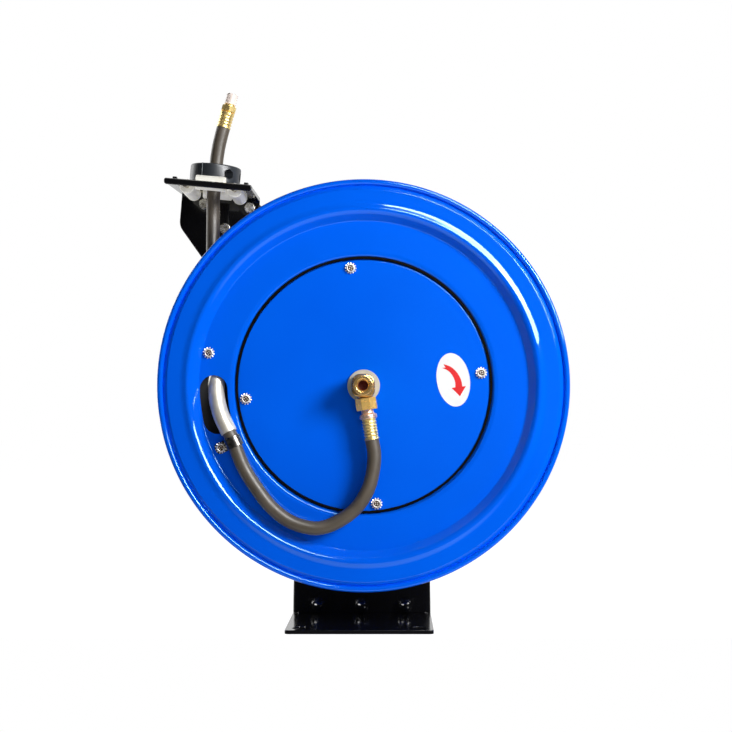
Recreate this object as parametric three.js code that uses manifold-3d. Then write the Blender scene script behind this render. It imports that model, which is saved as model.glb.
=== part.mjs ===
// Spring-rewind hose reel on a single pedestal.
// Millimetres, +Z up. X is the width, the spool's axis lies along Y and its decorated face looks to -Y.
// The origin is the centre of the foot plate's bottom face.
import * as THREE from 'three';
import { mergeVertices } from 'three/addons/utils/BufferGeometryUtils.js';
import Module from 'manifold-3d';

const wasm = await Module();
wasm.setup();

// ---------------------------------------------------------------- driving dimensions
const GAP = 0.3;                 // clearance between pieces that sit on one another
const HOLE_PLAY = 0.6;           // what a plain hole is wider than its screw or pin

// foot plate and upright
const FOOT_WIDTH = 149;
const FOOT_THICKNESS = 4;
const FOOT_CORNER = 4;
const FOOT_SLOT_SPREAD_X = 119;
const FOOT_SLOT_FRONT_INSET = 20; // slot centre behind the front edge
const FOOT_SLOT_REAR_INSET = 13.5; // and before the rear edge
const FOOT_SLOT_WIDTH = 9;
const FOOT_SLOT_LENGTH = 16;
const UPRIGHT_CLEARANCE = 11.5;  // rear flange's crest to the upright's front face
const FOOT_REAR_MARGIN = 5.5;    // foot plate behind the upright's returns
const UPRIGHT_SHEET = 4;
const UPRIGHT_RETURN = 26;       // depth of the side flanges, sheet included
const UPRIGHT_TOP_RADIUS = 62;
const UPRIGHT_SHOULDER = 150;    // height up to which the sides stay nearly straight
const UPRIGHT_SHOULDER_WIDTH = 144;
const LIP_HEIGHT = 34;           // the foot's upturned lip behind the upright
const LIP_SHEET = 4;
const BASE_BOLT_SPACING = 47;
const BASE_BOLT_HEIGHT = 12.6;
const BASE_BOLT_SHANK = 8;

// spool
const AXIS_X = 4.1;              // the spool's axis beside the foot's middle
const RIM_CLEARANCE = 40;        // floor to the flange's rim
const SPOOL_SETBACK = 8;         // foot's front edge to the front flange's crest
const FLANGE_RADIUS = 207.5;
const FLANGE_SHEET = 1.5;
const HOSE_SPACE = 86;           // clear width between the flanges
const DISH_DEPTH = 10;           // crest to the flat ring
const SHELF_DEPTH = 14.8;        // crest to the shelf that carries the cover
const SHELF_BORE_RADIUS = 110;
const POCKET_RADIUS = 129;
const RING_INNER_RADIUS = 134;
const RING_OUTER_RADIUS = 166;
const CREST_FROM = 173.2;        // the rib that stands out round the ring: its inner and outer foot
const CREST_RADIUS = 177;
const CREST_TO = 183;
const CREST_FALL = 2.3;          // from the crest down to its outer foot
const BAND_RADIUS = 196;
const BAND_DEPTH = 2.9;
const GROOVE_RADIUS = 200.5;
const GROOVE_DEPTH = 6.2;
const BEAD_RADIUS = 2.9;
const DRUM_RADIUS = 125;
const DRUM_SHEET = 2;
const SPOOL_FACETS = 44;

// slot in the front flange, image of a kidney about the axis
const SLOT_INNER_RADIUS = 137;
const SLOT_OUTER_RADIUS = 165;
const SLOT_FROM_DEG = 176;
const SLOT_TO_DEG = 198.5;

// spring cover
const COVER_EDGE_GAP = 2;        // all round, to the dished pocket
const COVER_SHEET = 1.5;
const COVER_SCREW_RADIUS = 119.4;
const COVER_SCREW_TURN = 6.3;    // degrees above the level line, seen from the front
const FLANGE_SCREW_RADIUS = 159.2;
const FLANGE_SCREW_DEG = 168;

const SCREW_SHANK = 5;
const SCREW_HEAD = 8.4;
const SCREW_WASHER = 10.8;

// shaft, hub, ratchet
const SHAFT_RADIUS = 11;
const SHAFT_COLLAR_RADIUS = 18;
const SHAFT_FRONT_REACH = 26;    // shaft in front of the hub's front end
const HUB_RADIUS = 19;
const HUB_LENGTH = 60;
const HUB_FLANGE_RADIUS = 36;
const HUB_FLANGE_THICKNESS = 4;
const BUSHING_WALL = 3;
const RATCHET_RADIUS = 52;
const RATCHET_NOTCHES = 12;
const RATCHET_NOTCH_DEPTH = 7;
const RATCHET_THICKNESS = 5;
const PAWL_PIVOT_RADIUS = 76;    // pawl pivot from the spool's axis
const PAWL_PIVOT_DEG = -60;      // below right, seen from the front
const PAWL_CONTACT_DEG = -88;    // where its tip meets the wheel
const PAWL_PIN_RADIUS = 4;
const PAWL_SHOULDER_RADIUS = 6.5;
const PAWL_SPRING_WIRE = 0.7;     // radius
const PAWL_SPRING_TURNS = 2.5;
const PAWL_SPRING_FROM_DEG = 70;
const PAWL_SPRING_LEG = 15;
const SHAFT_NUT_FLATS = 34;
const SHAFT_NUT_THICKNESS = 14;
const SHAFT_WASHER_RADIUS = 23;
const SHAFT_WASHER_THICKNESS = 2.5;
const RING_THICKNESS = 2;         // spring ring that holds the hub on the shaft
const SPRING_STRIP = 1.2;
const SPRING_TURNS = 4.5;
const SPRING_WIDTH = 20;

// hose
const HOSE_RADIUS = 7;
const LAYER_STEP = 12.2;         // radial pitch of nested layers
const HOSE_LAYERS = 3;
const TURN_PITCH = 14.6;
const OUTER_TURNS = 3.25;
const TURN_STEPS = 24;
const TURN_SIDES = 6;
const HOSE_SIDES = 10;
const SLEEVE_WALL = 0.75;
const SLEEVE_BORE_PLAY = 0.5;

const CLIP_PLAY = 0.6;            // between the hose and the band round it
const CLIP_BAND = 1.2;
const CLIP_WIDTH = 11;

// hose guide
const GUIDE_X = -153;            // crossing of the roller window's middle lines
const GUIDE_BEHIND = 12.5;        // behind the middle of the hose space
const GUIDE_BELOW_RIM = 0.6;      // under the top of the flange
const GUIDE_TILT_DEG = 4.9;
const GUIDE_SHEET = 4;
const GUIDE_HALF_WIDTH = 44;
const GUIDE_FRONT_RIM = 3.6;      // in front of the window
const GUIDE_TOP = 0.5;            // plate's top face above the crossing
const ROLLER_RADIUS = 7.5;
const ROLLER_PIN_RADIUS = 2;
const ROLLER_END_GAP = 1.85;      // from an across roller's end to the rollers beside it
const ACROSS_ROLLER_OFFSET = 32.5; // from the window's middle, front and back
const ACROSS_PIN_HEIGHT = 0.7;
const ALONG_ROLLER_LENGTH = 56;
const ALONG_ROLLER_OFFSET = 24.6;  // from the window's middle, left and right
const ALONG_PIN_HEIGHT = -3.7;
const BRACKET_BOLTS = [[-15, -11.6], [34, -11.6], [9.5, -36]]; // from the crossing, in the tilted guide
const BRACKET_BOLT_SHANK = 6;
const ARM_SHEET = 4;
const ARM_BOLT_RISES = [[-14.8, 44.2], [-33.2, 28.8]];          // [x, above the axis]
const ARM_BOLT_SHANK = 8;
const ARM_TOP = [[-166, -33.4, 14], [-181, -18.4, 6], [-181, -1.4, 6], [-110, -6.4, 8],
  [-97, -47.9, 14]];                                            // [x, above the guide, corner radius]
const ARM_FOOT = [[5.7, 35.1, 16], [-28.1, 7.1, 16]];           // [x, above the axis, corner radius]

// hose stop and end fittings
const STOP_RADIUS = 25;
const STOP_HEIGHT = 16.5;
const STOP_COLLAR = 2;            // raised ring round the hose on top
const STOP_SPLIT_DEG = 25;        // turn of the split plane from the front
const STOP_SCREW_OFFSET = 11.2;
const STOP_POCKET_FLATS = 9.4;
const STOP_SCREW_FLATS = 8;
const STOP_CLAMP = 9;             // split plane to the pocket's floor
const COUPLING_LEAN_DEG = 15.5;
const COUPLING_HEX = 6;           // length of the hexagon
const COUPLING_FLATS = 14.5;
const THREAD_RADIUS = 4.9;

// swivel
const SWIVEL_WIDTH = 23.2;
const SWIVEL_DEPTH = 24;
const SWIVEL_WASHER_RADIUS = 16.5;
const SWIVEL_WASHER_THICKNESS = 2;
const SWIVEL_SPIGOT_RADIUS = 8;
const LOCKNUT_THICKNESS = 5;
const PORT_NECK_RADIUS = 8;
const PORT_NUT_FLATS = 20;
const PORT_NUT_FROM = 12.6;       // from the swivel's middle along the port
const PORT_NUT_LENGTH = 12;
const RIB_PITCH = 3.3;
const INLET_RIBS = 6;
const OUTLET_RIBS = 4;
const FERRULE_RADIUS = 7.3;
const FITTING_NECK = 4.2;
const FITTING_COLLAR = 4.4;
const STEM_RADIUS = 10;
const STEM_LENGTH = 9;
const STEM_NECK_RADIUS = 7.2;
const STEM_BORE_RADIUS = 4.9;
const STEM_BEVEL = 2;
const PORT_LEAN_DEG = -9;

// ---------------------------------------------------------------- plane geometry
const outline = (points) => new THREE.Shape(points.map(([x, y]) => new THREE.Vector2(x, y)));
const degrees = (angle) => THREE.MathUtils.degToRad(angle);
const cornerRadius = (flats) => flats / 2 / Math.cos(Math.PI / 6);   // of a hexagon across flats
const polar = (radius, angle) => [radius * Math.cos(degrees(angle)), radius * Math.sin(degrees(angle))];

// ---------------------------------------------------------------- places that follow from them
const AXIS_Z = RIM_CLEARANCE + FLANGE_RADIUS;
const GUIDE_Z = AXIS_Z + FLANGE_RADIUS - GUIDE_BELOW_RIM;
const lifted = (points, height) => points.map(([x, z, ...rest]) => [x, height + z, ...rest]);
const ARM_BOLTS = lifted(ARM_BOLT_RISES, AXIS_Z);
const ARM_OUTLINE = [...lifted(ARM_TOP, GUIDE_Z), ...lifted(ARM_FOOT, AXIS_Z)];
const SPOOL_DEPTH = HOSE_SPACE + 2 * (DISH_DEPTH + FLANGE_SHEET);   // crest to crest
const FOOT_DEPTH = SPOOL_SETBACK + SPOOL_DEPTH + UPRIGHT_CLEARANCE + UPRIGHT_RETURN + FOOT_REAR_MARGIN;
const FOOT_FRONT_Y = -FOOT_DEPTH / 2;
const FRONT_CREST_Y = FOOT_FRONT_Y + SPOOL_SETBACK;
const FRONT_RING_Y = FRONT_CREST_Y + DISH_DEPTH;              // flat ring's front face
const SPACE_FRONT_Y = FRONT_RING_Y + FLANGE_SHEET;
const SPACE_REAR_Y = SPACE_FRONT_Y + HOSE_SPACE;
const REAR_FACE_Y = SPACE_REAR_Y + FLANGE_SHEET;              // rear flange's outer flat face
const REAR_CREST_Y = REAR_FACE_Y + DISH_DEPTH;
const UPRIGHT_Y = REAR_CREST_Y + UPRIGHT_CLEARANCE;
const GUIDE_Y = (SPACE_FRONT_Y + SPACE_REAR_Y) / 2 + GUIDE_BEHIND;
const SHELF_Y = FRONT_CREST_Y + SHELF_DEPTH;
const COVER_RADIUS = POCKET_RADIUS - COVER_EDGE_GAP;
const COVER_BACK_Y = SHELF_Y - GAP;
const COVER_FRONT_Y = COVER_BACK_Y - COVER_SHEET;
const OUTER_LAYER_RADIUS = DRUM_RADIUS + HOSE_RADIUS + GAP + (HOSE_LAYERS - 1) * LAYER_STEP;
const CORE_RADIUS = (OUTER_LAYER_RADIUS - HOSE_RADIUS) * Math.cos(Math.PI / TURN_STEPS) - GAP;
const HOSE_LEAVE_X = AXIS_X - OUTER_LAYER_RADIUS;
const OUTER_LAYER_REAR_Y = SPACE_REAR_Y - GAP - HOSE_RADIUS;
const HOSE_LEAVE_Y = OUTER_LAYER_REAR_Y - OUTER_TURNS * TURN_PITCH;
const HUB_REAR_Y = REAR_FACE_Y + GAP + HUB_FLANGE_THICKNESS + GAP + RATCHET_THICKNESS + 1;
const HUB_FRONT_Y = HUB_REAR_Y - HUB_LENGTH;
const RATCHET_Y = REAR_FACE_Y + GAP + HUB_FLANGE_THICKNESS + GAP;
const BRACKET_Y = UPRIGHT_Y - 2 * GAP - ARM_SHEET - GUIDE_SHEET;   // upright leaf's front face
const PAWL_PIVOT = polar(PAWL_PIVOT_RADIUS, PAWL_PIVOT_DEG);
const SWIVEL_BACK_Y = COVER_FRONT_Y - SWIVEL_WASHER_THICKNESS - 2 * GAP;
const SWIVEL_FRONT_Y = SWIVEL_BACK_Y - SWIVEL_DEPTH;
const HOSE_PORT_Y = SWIVEL_BACK_Y - SWIVEL_DEPTH / 2;
const FITTING_FROM = PORT_NUT_FROM + PORT_NUT_LENGTH + GAP;    // along the port's axis
const FITTING_END = FITTING_FROM + FITTING_NECK + FITTING_COLLAR + (INLET_RIBS + 0.4) * RIB_PITCH;

const COVER_SCREW_AT = [0, 1, 2, 3].map((i) => polar(COVER_SCREW_RADIUS, COVER_SCREW_TURN + 90 * i));
const FLANGE_SCREW_AT = polar(FLANGE_SCREW_RADIUS, FLANGE_SCREW_DEG);
const ACROSS_ROLLER_LENGTH = 2 * (ALONG_ROLLER_OFFSET - ROLLER_RADIUS - ROLLER_END_GAP);
const ACROSS_PIN_END = ALONG_ROLLER_OFFSET + ROLLER_RADIUS + 7;

const CLIP_RADIUS = HOSE_RADIUS + CLIP_PLAY + CLIP_BAND;      // outside of the band
const CLIP_SCREW_REACH = CLIP_RADIUS + SCREW_WASHER / 2 + GAP;
const CLIP_RING_Y = FRONT_RING_Y - GAP - CLIP_RADIUS;
const CLIP_AT = [-130.1, -56.3];                              // hose centre in the clip, from the axis
const CLIP_DIRECTION = new THREE.Vector2(-0.91, -0.415).normalize();
const CLIP_SCREW_AT = [
  CLIP_AT[0] + CLIP_DIRECTION.x * CLIP_SCREW_REACH,
  CLIP_AT[1] + CLIP_DIRECTION.y * CLIP_SCREW_REACH,
];

// ---------------------------------------------------------------- materials
const finish = (color, roughness, metalness) =>
  new THREE.MeshStandardMaterial({ color, roughness, metalness });
const bluePaint = finish(0x0a62e8, 0.3, 0.1);
const blackPaint = finish(0x101013, 0.3, 0.1);
const zinc = finish(0xb9b6ac, 0.35, 0.9);
const steel = finish(0xa8abad, 0.3, 1);
const brass = finish(0xc79a45, 0.3, 1);
const rubber = finish(0x26231f, 0.7, 0);
const nylon = finish(0xd9d6c8, 0.5, 0);
const darkPlastic = finish(0x3a3d42, 0.5, 0);
const springSteel = finish(0x4a4f57, 0.4, 0.9);
const clearPlastic = finish(0xeadfd0, 0.3, 0);

// ---------------------------------------------------------------- solids
// Joins shared corners, drops triangles without area and turns the faces outward.
function closed(geometry) {
  geometry.deleteAttribute('normal');
  geometry.deleteAttribute('uv');
  const merged = mergeVertices(geometry, 1e-4);
  const corners = merged.index.array;
  const kept = [];
  for (let i = 0; i < corners.length; i += 3) {
    const [a, b, c] = [corners[i], corners[i + 1], corners[i + 2]];
    if (a !== b && b !== c && c !== a) kept.push(a, b, c);
  }
  merged.setIndex(kept);
  return volumeOf(merged) < 0 ? reversed(merged) : merged;
}

function volumeOf(geometry) {
  const [a, b, c] = [new THREE.Vector3(), new THREE.Vector3(), new THREE.Vector3()];
  const place = geometry.attributes.position;
  const corners = geometry.index.array;
  let volume = 0;
  for (let i = 0; i < corners.length; i += 3) {
    a.fromBufferAttribute(place, corners[i]);
    b.fromBufferAttribute(place, corners[i + 1]);
    c.fromBufferAttribute(place, corners[i + 2]);
    volume += a.dot(b.cross(c)) / 6;
  }
  return volume;
}

function reversed(geometry) {
  const corners = Array.from(geometry.index.array);
  for (let i = 0; i < corners.length; i += 3) {
    [corners[i + 1], corners[i + 2]] = [corners[i + 2], corners[i + 1]];
  }
  geometry.setIndex(corners);
  return geometry;
}

function solid(geometry) {
  return new wasm.Manifold(new wasm.Mesh({
    numProp: 3,
    vertProperties: new Float32Array(geometry.attributes.position.array),
    triVerts: new Uint32Array(geometry.index.array),
  }));
}

function surface(manifold) {
  const mesh = manifold.getMesh();
  const geometry = new THREE.BufferGeometry();
  geometry.setAttribute('position', new THREE.BufferAttribute(mesh.vertProperties, mesh.numProp));
  geometry.setIndex(Array.from(mesh.triVerts));
  return geometry;
}

function cut(body, ...tools) {
  return surface(tools.reduce((left, tool) => left.subtract(solid(tool)), solid(body)));
}

function join(body, ...more) {
  return surface(more.reduce((sum, piece) => sum.add(solid(piece)), solid(body)));
}

function overlapOf(body, other) {
  return surface(solid(body).intersect(solid(other)));
}

// ---------------------------------------------------------------- basic forms
// Revolves [radius, y] pairs about the Y axis; the loop closes on itself.
function turned(profile, facets) {
  const loop = [...profile, profile[0]].map(([radius, y]) => new THREE.Vector2(radius, y));
  return closed(new THREE.LatheGeometry(loop, facets));
}

// A round bar along Y.
function bar(radius, fromY, toY, facets = 16) {
  return turned([[0, fromY], [radius, fromY], [radius, toY], [0, toY]], facets);
}

// Cutter for a plain hole along Y at [x, z], for a screw or pin of this diameter.
function clearHole(shank, [x, z], fromY, toY, facets = 10) {
  return bar((shank + HOLE_PLAY) / 2, fromY, toY, facets).translate(x, 0, z);
}

// A pipe along Y.
function pipe(radius, bore, fromY, toY, facets = 20) {
  return turned([[bore, fromY], [radius, fromY], [radius, toY], [bore, toY]], facets);
}

// A plate in the plane of X and Z, from fromY to toY.
function upright(shape, fromY, toY, curveSegments = 8) {
  const depth = toY - fromY;
  const plate = new THREE.ExtrudeGeometry(shape, { depth, bevelEnabled: false, curveSegments });
  return closed(plate.rotateX(Math.PI / 2).translate(0, toY, 0));
}

// A plate in the plane of X and Y, from fromZ to toZ.
function level(shape, fromZ, toZ, curveSegments = 8) {
  const depth = toZ - fromZ;
  const plate = new THREE.ExtrudeGeometry(shape, { depth, bevelEnabled: false, curveSegments });
  return closed(plate.translate(0, 0, fromZ));
}

function box([x0, x1], [y0, y1], [z0, z1]) {
  const block = new THREE.BoxGeometry(x1 - x0, y1 - y0, z1 - z0);
  return closed(block.translate((x0 + x1) / 2, (y0 + y1) / 2, (z0 + z1) / 2));
}

// Rounds the corners of a polygon, given as [x, y, radius].
function roundedOutline(corners) {
  const shape = new THREE.Shape();
  corners.forEach(([x, y, radius = 0], i) => {
    const here = new THREE.Vector2(x, y);
    const toward = (j) => {
      const [nx, ny] = corners[(j + corners.length) % corners.length];
      return new THREE.Vector2(nx, ny).sub(here).normalize().multiplyScalar(radius).add(here);
    };
    const enter = toward(i - 1);
    const leave = toward(i + 1);
    if (i === 0) shape.moveTo(enter.x, enter.y);
    else shape.lineTo(enter.x, enter.y);
    if (radius > 0) shape.quadraticCurveTo(x, y, leave.x, leave.y);
  });
  shape.closePath();
  return shape;
}

// An oblong with round ends, its long side along Y.
function oblong(x, y, width, length) {
  const shape = new THREE.Shape();
  const half = (length - width) / 2;
  shape.absarc(x, y + half, width / 2, 0, Math.PI);
  shape.absarc(x, y - half, width / 2, Math.PI, 2 * Math.PI);
  return shape;
}

const curveThrough = (points) =>
  new THREE.CatmullRomCurve3(points.map((p) => new THREE.Vector3(...p)), false, 'centripetal');

// A tube along hand-set points; ring by ring, so that two tubes on one route stay in line.
function routed(points, radius, sides, steps, bore = 0) {
  const route = curveThrough(points);
  const ring = (r) => Array.from({ length: sides }, (_, i) => polar(r, (i * 360) / sides));
  const section = outline(ring(radius));
  if (bore > 0) section.holes.push(outline(ring(bore)));
  return closed(new THREE.ExtrudeGeometry(section, { steps, extrudePath: route, curveSegments: 1 }));
}

// ---------------------------------------------------------------- fasteners, all along -Y
// Head at negative y, its seat at y = 0, the shank running to +y; a nut sits beyond the grip.
function hexBolt({ flats, head, washer, washerThickness, shank, grip }) {
  const corner = cornerRadius(flats);
  const hex = (from, to) => turned([[0, from], [corner * 0.86, from], [corner, from + 1.2],
    [corner, to], [0, to]], 6);
  const disc = bar(washer / 2, -washerThickness, 0, 14);
  const nutFrom = grip + GAP;
  const shaft = bar(shank / 2, -washerThickness / 2, nutFrom + shank * 1.1, 8);
  return join(hex(-washerThickness - head, -washerThickness / 2), disc, shaft,
    hex(nutFrom + shank * 0.8, nutFrom));
}

function panScrew({ head, height, washer, washerThickness, shank, length }) {
  const top = -washerThickness - height;
  return turned([[0, top], [head * 0.32, top], [head / 2, top + height * 0.6],
    [head / 2, -washerThickness], [washer / 2, -washerThickness], [washer / 2, 0],
    [shank / 2, 0], [shank / 2, length], [0, length]], 10);
}

// ---------------------------------------------------------------- pressed flanges
// The sheet's outer surface from its bore to the rim bead, as [radius, depth behind the crest].
const ringToGroove = [
  [RING_OUTER_RADIUS, DISH_DEPTH],
  [CREST_FROM, CREST_FALL * 0.9],
  [CREST_RADIUS, 0],
  [CREST_TO, CREST_FALL],
  [BAND_RADIUS, BAND_DEPTH],
  [GROOVE_RADIUS, GROOVE_DEPTH],
];
const frontSheet = [
  [SHELF_BORE_RADIUS, SHELF_DEPTH],
  [POCKET_RADIUS - 0.5, SHELF_DEPTH],
  [POCKET_RADIUS + 1.4, DISH_DEPTH + 1.6],
  [RING_INNER_RADIUS, DISH_DEPTH],
  ...ringToGroove,
];
const rearSheet = [[HUB_RADIUS + HOLE_PLAY / 2, DISH_DEPTH], ...ringToGroove];

// Moves an open line of points sideways by a distance, corners mitred.
function shifted(line, distance) {
  return line.map(([x, y], i) => {
    const [before, after] = [line[Math.max(i - 1, 0)], line[Math.min(i + 1, line.length - 1)]];
    const here = new THREE.Vector2(x, y);
    const into = i > 0 ? here.clone().sub(new THREE.Vector2(...before)).normalize() : null;
    const out = i < line.length - 1 ? new THREE.Vector2(...after).sub(here).normalize() : null;
    const [a, b] = [into ?? out, out ?? into];
    const normal = new THREE.Vector2(-(a.y + b.y), a.x + b.x).normalize();
    const stretch = distance / normal.dot(new THREE.Vector2(-a.y, a.x));
    return [x + normal.x * stretch, y + normal.y * stretch];
  });
}

function flangeProfile(sheet) {
  const centre = [FLANGE_RADIUS - BEAD_RADIUS, GROOVE_DEPTH];
  const bead = [230, 290, 350, 410].map((angle) => {
    const [dr, dd] = polar(BEAD_RADIUS, angle);
    return [centre[0] + dr, centre[1] + dd];
  });
  return [...sheet, ...bead, ...shifted(sheet, FLANGE_SHEET).reverse()];
}

function frontFlange() {
  const pressed = turned(flangeProfile(frontSheet).map(([r, d]) => [r, FRONT_CREST_Y + d]), SPOOL_FACETS);
  const slot = new THREE.Shape();
  const middle = (SLOT_INNER_RADIUS + SLOT_OUTER_RADIUS) / 2;
  const endRadius = (SLOT_OUTER_RADIUS - SLOT_INNER_RADIUS) / 2;
  const inset = THREE.MathUtils.radToDeg(endRadius / middle);
  const [from, to] = [degrees(SLOT_FROM_DEG + inset), degrees(SLOT_TO_DEG - inset)];
  const endAt = (angle) => [middle * Math.cos(angle), middle * Math.sin(angle)];
  slot.absarc(0, 0, SLOT_OUTER_RADIUS, from, to, false);
  slot.absarc(...endAt(to), endRadius, to, to + Math.PI, false);
  slot.absarc(0, 0, SLOT_INNER_RADIUS, to, from, true);
  slot.absarc(...endAt(from), endRadius, from + Math.PI, from + 2 * Math.PI, false);
  const tools = [upright(slot, FRONT_CREST_Y, SPACE_FRONT_Y + 5, 6)];
  const screwHole = (place) => clearHole(SCREW_SHANK, place, FRONT_CREST_Y, SPACE_FRONT_Y + 8);
  tools.push(screwHole(polar(FLANGE_SCREW_RADIUS, FLANGE_SCREW_DEG)));
  tools.push(screwHole(CLIP_SCREW_AT));
  COVER_SCREW_AT.forEach((place) => tools.push(screwHole(place)));
  return cut(pressed, ...tools);
}

// ---------------------------------------------------------------- spool, placed from its axis
// The hose's inner end, from the fitting under the swivel round to the turns behind the slot.
const portPoint = (distance) => [-distance * Math.sin(degrees(PORT_LEAN_DEG)), HOSE_PORT_Y,
  -distance * Math.cos(degrees(PORT_LEAN_DEG))];
const INLET_ROUTE = [
  portPoint(FITTING_END + GAP), portPoint(FITTING_END + GAP + 2 * HOSE_RADIUS),
  ...[[9.8, -0.6, -83.5], [5.1, -1.4, -102.1], [-6.3, -1.9, -121.1], [-24.3, -1.9, -135.1],
    [-43.2, -1.9, -142.1], [-57.2, -1.6, -141.1], [-74.1, -1.2, -135.1], [-92.1, -0.6, -121.1],
    [-107.1, 0.3, -102.1], [-120.1, 1.6, -81.2]].map(([x, y, z]) => [x, HOSE_PORT_Y + y, z]),
  [CLIP_AT[0], CLIP_RING_Y, CLIP_AT[1]],
  ...[[-134.3, 2.6, -46.8], [-143.2, 7, -28.9], [-148.3, 15.1, -10.6], [-149.6, 23.1, 8.1],
    [-147.6, 26.6, 22.5]].map(([x, y, z]) => [x, HOSE_PORT_Y + y, z]),
];
const SLEEVE_FROM = 13;           // the sleeve covers the route from this point
const SLEEVE_TO = 16;             // to this one
const HOSE_STEPS = 32;

function rearFlange() {
  return turned(flangeProfile(rearSheet).map(([r, d]) => [r, REAR_CREST_Y - d]), SPOOL_FACETS);
}

function drum() {
  const [front, rear] = [SHELF_Y + FLANGE_SHEET + GAP, SPACE_REAR_Y - GAP];
  return pipe(DRUM_RADIUS, DRUM_RADIUS - DRUM_SHEET, front, rear, SPOOL_FACETS);
}

function hub() {
  const bore = SHAFT_RADIUS + BUSHING_WALL + GAP;
  const flangeRear = REAR_FACE_Y + GAP + HUB_FLANGE_THICKNESS;
  return turned([[bore, HUB_FRONT_Y], [HUB_RADIUS, HUB_FRONT_Y], [HUB_RADIUS, REAR_FACE_Y + GAP],
    [HUB_FLANGE_RADIUS, REAR_FACE_Y + GAP], [HUB_FLANGE_RADIUS, flangeRear],
    [HUB_RADIUS, flangeRear], [HUB_RADIUS, HUB_REAR_Y], [bore, HUB_REAR_Y]], 24);
}

function ratchetWheel() {
  const step = 360 / RATCHET_NOTCHES;
  const teeth = [];
  for (let i = 0; i < RATCHET_NOTCHES; i += 1) {
    const middle = PAWL_CONTACT_DEG + i * step;
    teeth.push(polar(RATCHET_RADIUS, middle - step / 2));
    teeth.push(polar(RATCHET_RADIUS, middle - step * 0.3));
    teeth.push(polar(RATCHET_RADIUS - RATCHET_NOTCH_DEPTH, middle - step * 0.2));
    teeth.push(polar(RATCHET_RADIUS - RATCHET_NOTCH_DEPTH, middle + step * 0.2));
    teeth.push(polar(RATCHET_RADIUS, middle + step * 0.3));
  }
  const shape = outline(teeth);
  shape.holes.push(outline(Array.from({ length: 24 }, (_, i) => polar(HUB_RADIUS + GAP * 1.5, i * 15))));
  return upright(shape, RATCHET_Y, RATCHET_Y + RATCHET_THICKNESS);
}

function springCover() {
  const lip = 0.6;
  const plate = turned([[SWIVEL_SPIGOT_RADIUS + GAP, COVER_FRONT_Y], [COVER_RADIUS - lip, COVER_FRONT_Y],
    [COVER_RADIUS, COVER_FRONT_Y + lip], [COVER_RADIUS, COVER_BACK_Y],
    [SWIVEL_SPIGOT_RADIUS + GAP, COVER_BACK_Y]], SPOOL_FACETS);
  const hole = (place) => clearHole(SCREW_SHANK, place, COVER_FRONT_Y - 2, COVER_BACK_Y + 2);
  return cut(plate, ...COVER_SCREW_AT.map(hole));
}

// A flat strip wound in a spiral between the shaft's tip and the drum.
function powerSpring() {
  const steps = SPRING_TURNS * 14;
  const ends = SPRING_STRIP / 2 + GAP * 2;
  const [from, to] = [SHAFT_RADIUS + ends, DRUM_RADIUS - DRUM_SHEET - ends];
  const side = (shift) => Array.from({ length: steps + 1 }, (_, i) =>
    polar(from + ((to - from) * i) / steps + shift, (i * 360) / 14));
  const shape = outline([...side(SPRING_STRIP / 2), ...side(-SPRING_STRIP / 2).reverse()]);
  const rear = HUB_FRONT_Y - RING_THICKNESS - 2 * GAP;
  return upright(shape, rear - SPRING_WIDTH, rear);
}

// The lower layers as one plain ring, with a pocket for the hose that comes in through the slot.
function hoseCore() {
  const front = shifted(frontSheet, FLANGE_SHEET + GAP);
  const [pocketFoot, pocketTop] = [front[2], front[3]];
  const inner = DRUM_RADIUS + GAP;
  const [foot, top] = [SHELF_Y + FLANGE_SHEET + GAP, FRONT_CREST_Y + pocketTop[1]];
  const rear = SPACE_REAR_Y - GAP;
  const ring = turned([[inner, foot], [pocketFoot[0] + GAP, foot], [pocketTop[0] + GAP, top],
    [CORE_RADIUS, top], [CORE_RADIUS, rear], [inner, rear]], SPOOL_FACETS);
  const pocketRoute = INLET_ROUTE.slice(SLEEVE_FROM);
  const [x, y, z] = pocketRoute.at(-1);
  const pocket = routed([...pocketRoute, [x + 1, y + 1, z + 4]], HOSE_RADIUS + SLEEVE_WALL + 2.5, 12, 8);
  return cut(ring, pocket);
}

// The outer layer: one unbroken tube from the rear flange forward, leaving the spool upward on the left.
function outerLayerRoute() {
  const steps = Math.round(OUTER_TURNS * TURN_STEPS);
  const straight = 2 * HOSE_RADIUS;
  const turns = Array.from({ length: steps + 1 }, (_, i) => {
    const share = i / steps;
    const [x, z] = polar(OUTER_LAYER_RADIUS, 180 + 360 * OUTER_TURNS * (1 - share));
    return new THREE.Vector3(x, OUTER_LAYER_REAR_Y - TURN_PITCH * OUTER_TURNS * share, z);
  });
  const start = turns[0].clone().addScaledVector(tangentAt(180 + 360 * OUTER_TURNS), -straight);
  const end = turns.at(-1).clone().addScaledVector(tangentAt(180), straight);
  return [start, ...turns, end];
}

// Direction in which the hose runs at an angle round the spool, toward its outlet.
function tangentAt(angle) {
  const [x, z] = polar(1, angle);
  return new THREE.Vector3(z, 0, -x);
}

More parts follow.
